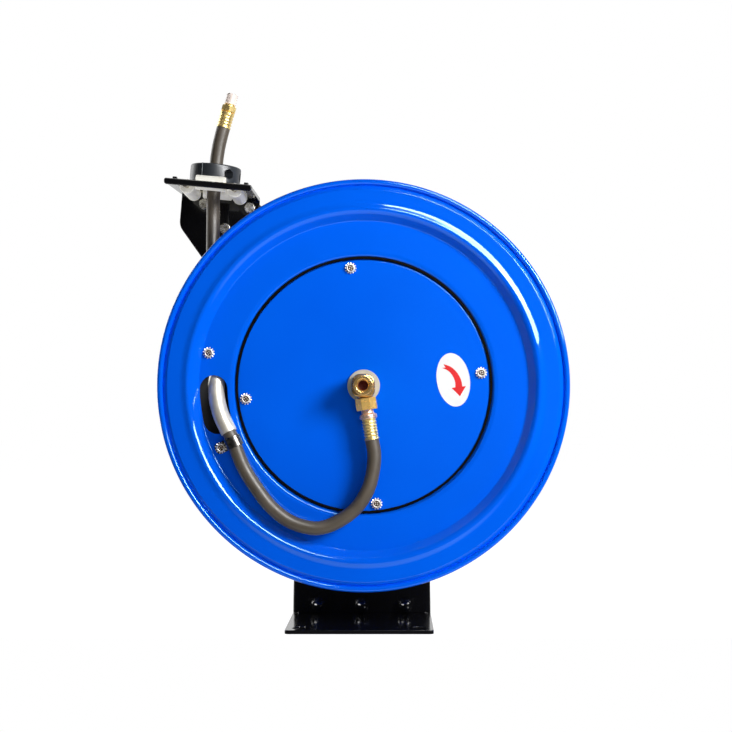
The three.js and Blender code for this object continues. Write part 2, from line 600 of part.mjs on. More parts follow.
// A tube as rings of corners on explicit centres, closed by a fan at each end.
function ringTube(centres, radius, sides) {
  const corners = [];
  const faces = [];
  const along = (i) => centres[Math.min(i + 1, centres.length - 1)].clone()
    .sub(centres[Math.max(i - 1, 0)]).normalize();
  centres.forEach((centre, i) => {
    const direction = along(i);
    const outward = new THREE.Vector3(centre.x, 0, centre.z).normalize();
    outward.addScaledVector(direction, -outward.dot(direction)).normalize();
    const sideways = new THREE.Vector3().crossVectors(direction, outward);
    for (let k = 0; k < sides; k += 1) {
      const [u, v] = polar(radius, (k * 360) / sides);
      corners.push(...centre.clone().addScaledVector(outward, u).addScaledVector(sideways, v).toArray());
    }
  });
  for (let i = 0; i + 1 < centres.length; i += 1) {
    for (let k = 0; k < sides; k += 1) {
      const [a, b] = [i * sides + k, i * sides + ((k + 1) % sides)];
      faces.push(a, b, a + sides, b, b + sides, a + sides);
    }
  }
  const last = (centres.length - 1) * sides;
  for (let k = 1; k + 1 < sides; k += 1) faces.push(0, k + 1, k, last, last + k, last + k + 1);
  const tube = new THREE.BufferGeometry();
  tube.setAttribute('position', new THREE.Float32BufferAttribute(corners, 3));
  tube.setIndex(faces);
  return volumeOf(tube) < 0 ? reversed(tube) : tube;
}

// Least clear distance between two turns of one tube, on its centre points.
function leastGap(centres, radius) {
  let least = Infinity;
  for (let i = 0; i < centres.length; i += 1) {
    for (let j = i + TURN_STEPS / 2; j + 1 < centres.length; j += 1) {
      const near = new THREE.Vector3();
      new THREE.Line3(centres[j], centres[j + 1]).closestPointToPoint(centres[i], true, near);
      least = Math.min(least, near.distanceTo(centres[i]) - 2 * radius);
    }
  }
  return least;
}

function sleeveTube() {
  const route = curveThrough(INLET_ROUTE);
  const share = (i) => i / (INLET_ROUTE.length - 1);
  const samples = Array.from({ length: 10 }, (_, i) =>
    route.getPoint(share(SLEEVE_FROM + ((SLEEVE_TO - SLEEVE_FROM) * i) / 9)).toArray());
  const bore = HOSE_RADIUS + SLEEVE_BORE_PLAY;
  return routed(samples, bore + SLEEVE_WALL, 12, 7, bore);
}

// P-clip: a band round the hose with both ends brought together under one screw.
function hoseClip() {
  const tabEnd = CLIP_SCREW_REACH + 6;
  const tabTop = CLIP_RADIUS - 2 * CLIP_BAND;
  const shape = new THREE.Shape();
  const joint = Math.asin(tabTop / CLIP_RADIUS);
  shape.moveTo(tabEnd, CLIP_RADIUS);
  shape.lineTo(tabEnd, tabTop);
  shape.lineTo(CLIP_RADIUS * Math.cos(joint), tabTop);
  shape.absarc(0, 0, CLIP_RADIUS, joint, Math.PI / 2, true);
  shape.closePath();
  const ring = Array.from({ length: 20 }, (_, i) => polar(CLIP_RADIUS - CLIP_BAND, i * 18));
  shape.holes.push(outline(ring));
  const extrusion = { depth: CLIP_WIDTH, bevelEnabled: false, curveSegments: 16 };
  const band = new THREE.ExtrudeGeometry(shape, extrusion);
  // shape's x runs toward the screw, its y toward the flange
  const across = new THREE.Vector3(CLIP_DIRECTION.x, 0, CLIP_DIRECTION.y);
  const inward = new THREE.Vector3(0, 1, 0);
  const along = new THREE.Vector3().crossVectors(across, inward);
  const turn = new THREE.Matrix4().makeBasis(across, inward, along);
  band.translate(0, 0, -CLIP_WIDTH / 2).applyMatrix4(turn).translate(CLIP_AT[0], CLIP_RING_Y, CLIP_AT[1]);
  return cut(closed(band), clearHole(SCREW_SHANK, CLIP_SCREW_AT, CLIP_RING_Y, FRONT_RING_Y));
}

function sheetScrew(length) {
  return panScrew({ head: SCREW_HEAD, height: 3, washer: SCREW_WASHER, washerThickness: 0.8,
    shank: SCREW_SHANK, length });
}

// ---------------------------------------------------------------- swivel and hose fitting
// The body turns with the spool; its spigot goes through the cover and is locked behind it.
function swivelBody() {
  const half = SWIVEL_WIDTH / 2;
  const section = roundedOutline([[-half, -half, 7], [half, -half, 7], [half, half, 9], [-half, half, 9]]);
  const block = upright(section, SWIVEL_FRONT_Y, SWIVEL_BACK_Y, 5);
  const spigot = bar(SWIVEL_SPIGOT_RADIUS, SWIVEL_BACK_Y - 1, COVER_BACK_Y + LOCKNUT_THICKNESS + 3, 20);
  const port = bar(PORT_NECK_RADIUS, 0, SWIVEL_WIDTH / 2 + 0.6, 20)
    .rotateX(-Math.PI / 2).rotateY(degrees(PORT_LEAN_DEG)).translate(0, HOSE_PORT_Y, 0);
  const well = bar(STEM_NECK_RADIUS + GAP, SWIVEL_FRONT_Y - 1, HOSE_PORT_Y + 4, 20);
  return cut(join(block, spigot, port), well);
}

// The inlet: a flanged sleeve that stays with the supply hose while the body turns round it.
function swivelStem() {
  const shoulder = SWIVEL_FRONT_Y - GAP;
  const front = shoulder - STEM_LENGTH;
  return turned([[STEM_BORE_RADIUS + STEM_BEVEL, front], [STEM_RADIUS - 1, front],
    [STEM_RADIUS, front + 1], [STEM_RADIUS, shoulder], [STEM_NECK_RADIUS, shoulder],
    [STEM_NECK_RADIUS, HOSE_PORT_Y], [STEM_BORE_RADIUS, HOSE_PORT_Y],
    [STEM_BORE_RADIUS, front + STEM_BEVEL]], 18);
}

function swivelLocknut() {
  const from = COVER_BACK_Y + GAP;
  const to = from + LOCKNUT_THICKNESS;
  const hexagon = bar(SWIVEL_SPIGOT_RADIUS + 5, from, to, 6);
  return cut(hexagon, bar(SWIVEL_SPIGOT_RADIUS + GAP, from - 1, to + 1));
}

// Pieces on the port are revolved about its axis, here the distance from the swivel's middle.
function onPort(geometry) {
  return geometry.rotateX(-Math.PI / 2).rotateY(degrees(PORT_LEAN_DEG)).translate(0, HOSE_PORT_Y, 0);
}

function portNut() {
  const corner = cornerRadius(PORT_NUT_FLATS);
  const [from, to] = [PORT_NUT_FROM, PORT_NUT_FROM + PORT_NUT_LENGTH];
  return onPort(turned([[0, from], [corner - 1.4, from], [corner, from + 1.2], [corner, to - 1.2],
    [corner - 1.4, to], [0, to]], 6));
}

// A neck, a collar and a ferrule crimped in ribs; distances along the axis from its free end.
function crimpFitting(neck, neckRadius, collar, collarRadius, ribs, ribPitch, ferruleRadius, ribDepth) {
  const profile = [[0, 0], [neckRadius, 0], [neckRadius, neck], [collarRadius, neck + 0.6],
    [collarRadius, neck + collar], [ferruleRadius, neck + collar]];
  for (let i = 0; i < ribs; i += 1) {
    const at = neck + collar + (i + 0.3) * ribPitch;
    profile.push([ferruleRadius, at], [ferruleRadius - ribDepth, at + ribPitch * 0.3],
      [ferruleRadius, at + ribPitch * 0.6]);
  }
  const end = neck + collar + (ribs + 0.4) * ribPitch;
  return turned([...profile, [ferruleRadius, end], [0, end]], 14);
}

const inletFitting = () =>
  onPort(crimpFitting(FITTING_NECK, 6.2, FITTING_COLLAR, 8.8, INLET_RIBS, RIB_PITCH, FERRULE_RADIUS, 0.6)
    .translate(0, FITTING_FROM, 0));

// ---------------------------------------------------------------- frame
function footPlate() {
  const [halfWidth, halfDepth] = [FOOT_WIDTH / 2, FOOT_DEPTH / 2];
  const plate = roundedOutline([[-halfWidth, -halfDepth, FOOT_CORNER], [halfWidth, -halfDepth, FOOT_CORNER],
    [halfWidth, halfDepth, FOOT_CORNER], [-halfWidth, halfDepth, FOOT_CORNER]]);
  for (const x of [-FOOT_SLOT_SPREAD_X / 2, FOOT_SLOT_SPREAD_X / 2]) {
    for (const y of [-halfDepth + FOOT_SLOT_FRONT_INSET, halfDepth - FOOT_SLOT_REAR_INSET]) {
      plate.holes.push(oblong(x, y, FOOT_SLOT_WIDTH, FOOT_SLOT_LENGTH));
    }
  }
  const lipHalf = halfWidth - UPRIGHT_SHEET - 2;
  const lipFront = UPRIGHT_Y + UPRIGHT_SHEET + GAP;
  const lip = upright(roundedOutline([[-lipHalf, FOOT_THICKNESS / 2], [lipHalf, FOOT_THICKNESS / 2],
    [lipHalf - 3, LIP_HEIGHT, 8], [-lipHalf + 3, LIP_HEIGHT, 8]]), lipFront, lipFront + LIP_SHEET, 3);
  const holes = baseBoltPlaces().map((place) => clearHole(BASE_BOLT_SHANK, place, 0, halfDepth));
  return cut(join(level(plate, 0, FOOT_THICKNESS, 5), lip), ...holes);
}

const baseBoltPlaces = () => [-1, 0, 1].map((i) => [i * BASE_BOLT_SPACING, BASE_BOLT_HEIGHT]);

// Outline of the upright, drawn in by a distance.
function uprightOutline(inset) {
  const foot = FOOT_WIDTH / 2 - inset;
  const shoulder = UPRIGHT_SHOULDER_WIDTH / 2 - inset;
  const radius = UPRIGHT_TOP_RADIUS - inset;
  const shape = new THREE.Shape();
  const bottom = FOOT_THICKNESS + GAP;
  const lean = degrees(22);
  shape.moveTo(-foot, bottom);
  shape.lineTo(foot, bottom);
  shape.lineTo(shoulder, UPRIGHT_SHOULDER);
  shape.absarc(AXIS_X, AXIS_Z, radius, lean, Math.PI - lean, false);
  shape.lineTo(-shoulder, UPRIGHT_SHOULDER);
  shape.closePath();
  return shape;
}

function uprightPressing() {
  const skin = upright(uprightOutline(0), UPRIGHT_Y, UPRIGHT_Y + UPRIGHT_RETURN, 8);
  const [webBack, past] = [UPRIGHT_Y + UPRIGHT_SHEET, UPRIGHT_Y + UPRIGHT_RETURN + 5];
  const hollow = upright(uprightOutline(UPRIGHT_SHEET), webBack, past, 8);
  const half = FOOT_WIDTH / 2 - UPRIGHT_SHEET;
  const below = box([-half, half], [webBack, past], [0, FOOT_THICKNESS + 2 * UPRIGHT_SHEET]);
  const hole = (diameter) => (place) => clearHole(diameter, place, UPRIGHT_Y - 5, webBack + 5, 12);
  return cut(skin, hollow, below,
    hole(2 * SHAFT_RADIUS + HOLE_PLAY)([AXIS_X, AXIS_Z]),
    hole(2 * PAWL_PIN_RADIUS)([AXIS_X + PAWL_PIVOT[0], AXIS_Z + PAWL_PIVOT[1]]),
    ...ARM_BOLTS.map(hole(ARM_BOLT_SHANK)), ...baseBoltPlaces().map(hole(BASE_BOLT_SHANK)));
}

function baseBolt() {
  return hexBolt({ flats: 13, head: 5.3, washer: 16, washerThickness: 1.6, shank: BASE_BOLT_SHANK,
    grip: UPRIGHT_SHEET + GAP + LIP_SHEET + GAP });
}

// Stationary shaft with a collar against the upright and a groove for the ring that holds the hub.
function mainShaft() {
  const rear = UPRIGHT_Y + UPRIGHT_SHEET + GAP + SHAFT_NUT_THICKNESS + 5;
  const front = HUB_FRONT_Y - SHAFT_FRONT_REACH;
  const [collarFront, collarRear] = [HUB_REAR_Y + GAP, UPRIGHT_Y - GAP];
  const [r, collar] = [SHAFT_RADIUS, SHAFT_COLLAR_RADIUS];
  return turned([[0, front], [r - 1, front], [r, front + 1], [r, collarFront],
    [collar, collarFront], [collar, collarRear], [r, collarRear],
    [r, rear - 1], [r - 1, rear], [0, rear]], 20);
}

function shaftNut() {
  const from = UPRIGHT_Y + UPRIGHT_SHEET + GAP;
  const corner = cornerRadius(SHAFT_NUT_FLATS);
  const to = from + SHAFT_NUT_THICKNESS;
  const inner = SHAFT_RADIUS + GAP;
  const washer = pipe(SHAFT_WASHER_RADIUS, inner, from, from + SHAFT_WASHER_THICKNESS, 24);
  const foot = from + SHAFT_WASHER_THICKNESS / 2;
  const hex = turned([[inner, foot], [corner, foot], [corner, to - 1.5],
    [corner * 0.88, to], [inner, to]], 6);
  return cut(join(washer, hex), bar(inner, from - 1, to + 1, 24));
}

// Flat arm from the upright up to the guide.
function guideArm() {
  const y = UPRIGHT_Y - GAP - ARM_SHEET;
  const hole = (shank) => (place) => clearHole(shank, place, y - 5, y + ARM_SHEET + 5);
  return cut(upright(roundedOutline(ARM_OUTLINE), y, y + ARM_SHEET, 4),
    ...ARM_BOLTS.map(hole(ARM_BOLT_SHANK)), ...bracketBoltPlaces().map(hole(BRACKET_BOLT_SHANK)));
}

// Point of the tilted guide in the object's frame, as [x, z].
function guidePoint([x, z]) {
  const [sin, cos] = [Math.sin(degrees(GUIDE_TILT_DEG)), Math.cos(degrees(GUIDE_TILT_DEG))];
  return [GUIDE_X + x * cos + z * sin, GUIDE_Z - x * sin + z * cos];
}

const bracketBoltPlaces = () => BRACKET_BOLTS.map(guidePoint);

// Bent plate with a window for the rollers; drawn level, with the crossing as its origin.
function guideBracket() {
  const frontEdge = -ACROSS_ROLLER_OFFSET - ROLLER_RADIUS - 1 - GUIDE_FRONT_RIM;
  const leafFront = BRACKET_Y - GUIDE_Y;
  const leafBack = leafFront + GUIDE_SHEET;
  const bottom = GUIDE_TOP - GUIDE_SHEET;
  const half = GUIDE_HALF_WIDTH;
  const plate = roundedOutline([[-half - 1.5, frontEdge, 7], [half - 1, frontEdge, 7],
    [half, leafBack], [-half + 4, leafBack]]);
  const windowX = ALONG_ROLLER_OFFSET + ROLLER_RADIUS + 1;
  const windowY = ACROSS_ROLLER_OFFSET + ROLLER_RADIUS + 1;
  plate.holes.push(roundedOutline([[-windowX, -windowY, 2], [windowX, -windowY, 2], [windowX, windowY, 2],
    [-windowX, windowY, 2]]));
  const leaf = roundedOutline([[-half + 4, GUIDE_TOP], [-half + 4, -37, 6], [-14, -67.6, 4], [1, -85, 7],
    [22, -83, 7], [half, -47, 8], [half, GUIDE_TOP]]);
  const saddles = [-1, 1].flatMap((left) => [-1, 1].map((front) =>
    box([left * (windowX + 3.5) - 2.2, left * (windowX + 3.5) + 2.2],
      [front * ACROSS_ROLLER_OFFSET - 4.2, front * ACROSS_ROLLER_OFFSET + 4.2],
      [GUIDE_TOP - 1, ACROSS_PIN_HEIGHT + ROLLER_PIN_RADIUS + 1.6])));
  const pinRun = ROLLER_PIN_RADIUS + GAP;
  const acrossCuts = [-1, 1].map((front) => bar(pinRun, -ACROSS_PIN_END - GAP, ACROSS_PIN_END + GAP, 8)
    .rotateZ(-Math.PI / 2).translate(0, front * ACROSS_ROLLER_OFFSET, ACROSS_PIN_HEIGHT));
  const alongCuts = [-1, 1].map((left) => bar(pinRun, frontEdge + 1, leafBack + 5, 8)
    .translate(left * ALONG_ROLLER_OFFSET, 0, ALONG_PIN_HEIGHT));
  const boltHoles = BRACKET_BOLTS.map((place) =>
    clearHole(BRACKET_BOLT_SHANK, place, leafFront - 5, leafBack + 5, 8));
  return cut(join(level(plate, bottom, GUIDE_TOP, 4), upright(leaf, leafFront, leafBack, 4), ...saddles),
    ...acrossCuts, ...alongCuts, ...boltHoles);
}

// A roller along Y with rounded ends.
function roller(length) {
  const [half, bore] = [length / 2, ROLLER_PIN_RADIUS + GAP];
  return turned([[bore, -half], [ROLLER_RADIUS - 1.2, -half], [ROLLER_RADIUS, -half + 1.2],
    [ROLLER_RADIUS, half - 1.2], [ROLLER_RADIUS - 1.2, half], [bore, half]], 18);
}

// ---------------------------------------------------------------- hose stop, one half of a split ring
function stopHalf(side) {
  const bore = HOSE_RADIUS + 0.6;
  const ring = turned([[bore, 0], [STOP_RADIUS - 1, 0], [STOP_RADIUS, 1], [STOP_RADIUS, STOP_HEIGHT - 1.5],
    [STOP_RADIUS - 1.5, STOP_HEIGHT], [bore + 3, STOP_HEIGHT], [bore + 2, STOP_HEIGHT + STOP_COLLAR],
    [bore, STOP_HEIGHT + STOP_COLLAR]], 30).rotateX(Math.PI / 2);
  const reach = STOP_RADIUS + 5;
  const across = side > 0 ? [GAP / 2, reach] : [-reach, -GAP / 2];
  const halfSpace = box(across, [-reach, reach], [-1, STOP_HEIGHT + 5]);
  const pockets = [-1, 1].flatMap((end) => {
    const hex = bar(cornerRadius(STOP_POCKET_FLATS), STOP_CLAMP, reach, 6).rotateZ(-side * Math.PI / 2);
    const hole = bar(2.7, 0, reach, 10).rotateZ(-side * Math.PI / 2);
    return [hex, hole].map((tool) => tool.translate(0, end * STOP_SCREW_OFFSET, STOP_HEIGHT / 2));
  });
  return cut(overlapOf(ring, halfSpace), ...pockets);
}

function stopScrew() {
  const corner = cornerRadius(STOP_SCREW_FLATS);
  const end = STOP_CLAMP + GAP;
  const hex = (from, to) => turned([[0, from], [corner, from], [corner, to], [0, to]], 6);
  return join(hex(-end - 4, -end), bar(2.3, -end - 1, end + 5, 10), hex(end, end + 4)).rotateZ(-Math.PI / 2);
}

// ---------------------------------------------------------------- hose to the outlet, its coupling and cap
const alongGuide = (height) => {
  const [x, z] = guidePoint([0, height]);
  return [x, GUIDE_Y, z];
};
const OUTLET_ROUTE = [
  [HOSE_LEAVE_X, HOSE_LEAVE_Y, AXIS_Z + 2 * HOSE_RADIUS + GAP], [HOSE_LEAVE_X, HOSE_LEAVE_Y, AXIS_Z + 32.5],
  [-152.6, -27, AXIS_Z + 72.5], [-153, -18, AXIS_Z + 127.5], [-153.8, -8, AXIS_Z + 177.5],
  alongGuide(-12), alongGuide(4), alongGuide(18), alongGuide(30),
  ...[[4.7, 43.6], [7, 53.6], [9.5, 63]].map(([x, z]) => [GUIDE_X + x, GUIDE_Y, GUIDE_Z + z]),
];
const OUTLET_STEPS = 24;

// Along +Y here, from the hose's end: ferrule, hexagon, thread.
function outletCoupling() {
  const ferrule = 4.2 + OUTLET_RIBS * RIB_PITCH;
  const profile = [[0, 0], [FERRULE_RADIUS, 0]];
  for (let i = 0; i < OUTLET_RIBS; i += 1) {
    const at = 1.4 + i * RIB_PITCH;
    profile.push([FERRULE_RADIUS, at], [FERRULE_RADIUS - 0.7, at + 1], [FERRULE_RADIUS, at + 2]);
  }
  profile.push([FERRULE_RADIUS, ferrule - 1], [6, ferrule], [6, ferrule + COUPLING_HEX + 1.5],
    [THREAD_RADIUS, ferrule + COUPLING_HEX + 1.5], [THREAD_RADIUS, THREAD_END], [0, THREAD_END]);
  const corner = cornerRadius(COUPLING_FLATS);
  const hex = turned([[0, ferrule], [corner - 1, ferrule], [corner, ferrule + 1],
    [corner, ferrule + COUPLING_HEX - 1], [corner - 1, ferrule + COUPLING_HEX],
    [0, ferrule + COUPLING_HEX]], 6);
  return join(turned(profile, 14), hex).rotateX(Math.PI / 2);
}

const THREAD_END = 4.2 + OUTLET_RIBS * RIB_PITCH + COUPLING_HEX + 10;

function threadCap() {
  const [from, to] = [THREAD_END - 8, THREAD_END + 3];
  const [outer, inner] = [THREAD_RADIUS + 0.9, THREAD_RADIUS + GAP];
  return turned([[inner, from], [outer, from], [outer, to - 0.8], [outer - 0.8, to], [0, to],
    [0, THREAD_END + GAP], [inner, THREAD_END + GAP]], 20).rotateX(Math.PI / 2);
}

// ---------------------------------------------------------------- pawl, drawn with its pivot as origin
function pawl() {
  const tip = polar(RATCHET_RADIUS + GAP + 0.2, PAWL_CONTACT_DEG);
  const [dx, dz] = [tip[0] - PAWL_PIVOT[0], tip[1] - PAWL_PIVOT[1]];
  const reach = Math.hypot(dx, dz);
  const body = roundedOutline([[-7, 6, 4], [4, 7, 4], [reach - 10, -1, 4], [reach - 6, -4, 1],
    [reach - 4.4, 0, 0.5], [reach, 0, 0.5], [reach + 0.8, -9, 3], [4, -10, 4], [-7, -8, 4]]);
  const bore = Array.from({ length: 14 }, (_, i) => polar(PAWL_PIN_RADIUS + GAP, (i * 360) / 14));
  body.holes.push(outline(bore));
  const turn = new THREE.Matrix4().makeBasis(new THREE.Vector3(dx, 0, dz).divideScalar(reach),
    new THREE.Vector3(0, 1, 0), new THREE.Vector3(-dz, 0, dx).divideScalar(-reach));
  return closed(upright(body, RATCHET_Y, RATCHET_Y + RATCHET_THICKNESS, 3).applyMatrix4(turn));
}

function pawlPin() {
  const [head, rear] = [RATCHET_Y - GAP, RATCHET_Y + RATCHET_THICKNESS + GAP];
  const end = UPRIGHT_Y + UPRIGHT_SHEET + 4;
  const [r, shoulder, seat] = [PAWL_PIN_RADIUS, PAWL_SHOULDER_RADIUS, UPRIGHT_Y - GAP];
  return turned([[0, head - 2], [r + 2, head - 2], [r + 2, head], [r, head], [r, rear],
    [shoulder, rear], [shoulder, seat], [r, seat], [r, end], [0, end]], 12);
}

// Torsion spring round the pin's shoulder: a leg along the pawl, the turns, a leg along the upright.
function pawlSpring() {
  const steps = Math.round(PAWL_SPRING_TURNS * 12);
  const radius = PAWL_SHOULDER_RADIUS + PAWL_SPRING_WIRE + 2 * GAP;
  const front = RATCHET_Y + RATCHET_THICKNESS + 2 * GAP + PAWL_SPRING_WIRE;
  const rear = UPRIGHT_Y - 2 * GAP - PAWL_SPRING_WIRE;
  const turns = Array.from({ length: steps + 1 }, (_, i) => {
    const [x, z] = polar(radius, PAWL_SPRING_FROM_DEG - i * 30);
    return new THREE.Vector3(x, front + ((rear - front) * i) / steps, z);
  });
  const leg = (angle, sign) => tangentAt(angle).multiplyScalar(sign * PAWL_SPRING_LEG);
  const start = turns[0].clone().add(leg(PAWL_SPRING_FROM_DEG, -1));
  const end = turns.at(-1).clone().add(leg(PAWL_SPRING_FROM_DEG - steps * 30, 1));
  return ringTube([start, ...turns, end], PAWL_SPRING_WIRE, 6);
}

// ---------------------------------------------------------------- assembly
const reel = new THREE.Group();

function add(parent, name, geometry, material, { at = [0, 0, 0], turn = [0, 0, 0] } = {}) {
  const mesh = new THREE.Mesh(geometry, material);
  mesh.name = name;
  mesh.position.set(...at);
  mesh.rotation.set(...turn);
  parent.add(mesh);
}

function group(parent, [x, y, z], turnY = 0) {
  const child = new THREE.Group();
  child.position.set(x, y, z);
  child.rotation.y = turnY;
  parent.add(child);
  return child;
}

// frame
add(reel, 'foot_plate', footPlate(), blackPaint);
add(reel, 'upright', uprightPressing(), blackPaint);
baseBoltPlaces().forEach(([x, z], i) => {
  add(reel, `base_bolt_${i + 1}`, baseBolt(), blackPaint, { at: [x, UPRIGHT_Y - GAP, z] });
});
add(reel, 'guide_arm', guideArm(), blackPaint);
ARM_BOLTS.forEach(([x, z], i) => {
  const bolt = hexBolt({ flats: 13, head: 5.3, washer: 15, washerThickness: 1.5, shank: ARM_BOLT_SHANK,
    grip: ARM_SHEET + UPRIGHT_SHEET + 2 * GAP });
  add(reel, `arm_bolt_${i + 1}`, bolt, zinc, { at: [x, UPRIGHT_Y - 2 * GAP - ARM_SHEET, z] });
});

// shaft and latch
const axis = group(reel, [AXIS_X, 0, AXIS_Z]);
add(axis, 'main_shaft', mainShaft(), steel);
add(axis, 'shaft_nut', shaftNut(), zinc);
const ringRear = HUB_FRONT_Y - GAP;
add(axis, 'shaft_ring', pipe(SHAFT_RADIUS + 5, SHAFT_RADIUS + GAP, ringRear - RING_THICKNESS, ringRear),
  springSteel);
add(axis, 'pawl', pawl(), zinc, { at: [PAWL_PIVOT[0], 0, PAWL_PIVOT[1]] });
add(axis, 'pawl_spring', pawlSpring(), springSteel, { at: [PAWL_PIVOT[0], 0, PAWL_PIVOT[1]] });
add(axis, 'pawl_pin', pawlPin(), zinc, { at: [PAWL_PIVOT[0], 0, PAWL_PIVOT[1]] });

// spool
add(axis, 'front_flange', frontFlange(), bluePaint);
add(axis, 'rear_flange', rearFlange(), bluePaint);
add(axis, 'drum', drum(), bluePaint);
add(axis, 'hub', hub(), steel);
add(axis, 'hub_bushing',
  pipe(SHAFT_RADIUS + BUSHING_WALL, SHAFT_RADIUS + GAP, HUB_FRONT_Y, HUB_REAR_Y, 18), brass);
add(axis, 'ratchet_wheel', ratchetWheel(), zinc);
add(axis, 'power_spring', powerSpring(), springSteel);
add(axis, 'spring_cover', springCover(), bluePaint);
COVER_SCREW_AT.forEach(([x, z], i) => {
  add(axis, `cover_screw_${i + 1}`, sheetScrew(8), zinc, { at: [x, COVER_FRONT_Y - GAP, z] });
});
add(axis, 'flange_screw', sheetScrew(5), zinc,
  { at: [FLANGE_SCREW_AT[0], FRONT_RING_Y - GAP, FLANGE_SCREW_AT[1]] });
add(axis, 'hose_core', hoseCore(), rubber);
const outerLayer = outerLayerRoute();
console.log('least gap between turns of the outer layer, mm:', leastGap(outerLayer, HOSE_RADIUS).toFixed(2));
add(axis, 'hose_outer_layer', ringTube(outerLayer, HOSE_RADIUS, TURN_SIDES), rubber);
add(axis, 'inlet_hose', routed(INLET_ROUTE, HOSE_RADIUS, HOSE_SIDES, HOSE_STEPS), rubber);
add(axis, 'sleeve_tube', sleeveTube(), steel);
add(axis, 'hose_clip', hoseClip(), zinc);
add(axis, 'clip_screw', sheetScrew(8), zinc,
  { at: [CLIP_SCREW_AT[0], FRONT_RING_Y - 2 * GAP - 2 * CLIP_BAND, CLIP_SCREW_AT[1]] });

// swivel
add(axis, 'swivel_body', swivelBody(), brass);
add(axis, 'swivel_washer', pipe(SWIVEL_WASHER_RADIUS, SWIVEL_SPIGOT_RADIUS + GAP,
  SWIVEL_BACK_Y + GAP, COVER_FRONT_Y - GAP, 24), nylon);
add(axis, 'swivel_locknut', swivelLocknut(), brass);
add(axis, 'swivel_stem', swivelStem(), brass);
add(axis, 'port_nut', portNut(), brass);
add(axis, 'inlet_fitting', inletFitting(), brass);

// hose guide
const guide = group(reel, [GUIDE_X, GUIDE_Y, GUIDE_Z], degrees(GUIDE_TILT_DEG));
add(guide, 'guide_bracket', guideBracket(), blackPaint);
BRACKET_BOLTS.forEach(([x, z], i) => {
  const bolt = hexBolt({ flats: 10, head: 4, washer: 11.6, washerThickness: 1, shank: BRACKET_BOLT_SHANK,
    grip: GUIDE_SHEET + ARM_SHEET + 2 * GAP });
  add(guide, `bracket_bolt_${i + 1}`, bolt, zinc, { at: [x, BRACKET_Y - GUIDE_Y - GAP, z] });
});
const alongPinEnd = BRACKET_Y - GUIDE_Y + GUIDE_SHEET;
const alongPinFront = -ACROSS_ROLLER_OFFSET - ROLLER_RADIUS - 3;
for (const [side, sign] of [['front', -1], ['rear', 1]]) {
  const place = { at: [0, sign * ACROSS_ROLLER_OFFSET, ACROSS_PIN_HEIGHT], turn: [0, 0, -Math.PI / 2] };
  const pin = bar(ROLLER_PIN_RADIUS, -ACROSS_PIN_END, ACROSS_PIN_END, 8);
  add(guide, `across_pin_${side}`, pin, zinc, place);
  add(guide, `across_roller_${side}`, roller(ACROSS_ROLLER_LENGTH), nylon, place);
}
for (const [side, sign] of [['left', -1], ['right', 1]]) {
  const place = { at: [sign * ALONG_ROLLER_OFFSET, 0, ALONG_PIN_HEIGHT] };
  add(guide, `along_pin_${side}`, bar(ROLLER_PIN_RADIUS, alongPinFront, alongPinEnd, 8), zinc, place);
  add(guide, `along_roller_${side}`, roller(ALONG_ROLLER_LENGTH), nylon, place);
}

// hose stop, resting on the rollers that lie along the hose's travel
const stop = group(guide, [0, 0, ALONG_PIN_HEIGHT + ROLLER_RADIUS + GAP]);
const stopTurn = { turn: [0, 0, -degrees(STOP_SPLIT_DEG)] };
add(stop, 'stop_half_left', stopHalf(-1), darkPlastic, stopTurn);
add(stop, 'stop_half_right', stopHalf(1), darkPlastic, stopTurn);
[-1, 1].forEach((sign, i) => {
  const [x, y] = polar(sign * STOP_SCREW_OFFSET, 90 - STOP_SPLIT_DEG);
  add(stop, `stop_screw_${i + 1}`, stopScrew(), zinc, { at: [x, y, STOP_HEIGHT / 2], ...stopTurn });
});

// outlet
add(reel, 'outlet_hose', routed(OUTLET_ROUTE, HOSE_RADIUS, HOSE_SIDES, OUTLET_STEPS), rubber);
const outletEnd = OUTLET_ROUTE.at(-1);
const lean = degrees(COUPLING_LEAN_DEG);
const beyond = new THREE.Vector3(Math.sin(lean), 0, Math.cos(lean)).multiplyScalar(GAP);
const coupling = group(reel, beyond.add(new THREE.Vector3(...outletEnd)).toArray(), lean);
add(coupling, 'outlet_coupling', outletCoupling(), brass);
add(coupling, 'thread_cap', threadCap(), clearPlastic);

export default reel;
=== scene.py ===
import math

import bmesh
import bpy
from mathutils import Matrix, Vector, geometry


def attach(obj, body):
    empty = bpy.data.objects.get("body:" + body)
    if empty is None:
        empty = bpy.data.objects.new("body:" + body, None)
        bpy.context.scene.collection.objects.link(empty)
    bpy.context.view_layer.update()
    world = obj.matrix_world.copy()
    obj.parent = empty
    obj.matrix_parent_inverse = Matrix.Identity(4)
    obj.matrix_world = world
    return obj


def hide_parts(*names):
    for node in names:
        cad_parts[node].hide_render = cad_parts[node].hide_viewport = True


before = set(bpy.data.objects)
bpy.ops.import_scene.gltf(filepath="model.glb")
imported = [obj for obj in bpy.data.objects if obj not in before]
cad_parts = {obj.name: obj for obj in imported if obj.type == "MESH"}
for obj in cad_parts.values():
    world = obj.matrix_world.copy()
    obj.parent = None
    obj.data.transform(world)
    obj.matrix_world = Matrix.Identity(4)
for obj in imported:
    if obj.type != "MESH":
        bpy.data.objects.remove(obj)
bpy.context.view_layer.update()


def rotation(degrees, axis):
    return Matrix.Rotation(math.radians(degrees), 4, axis)


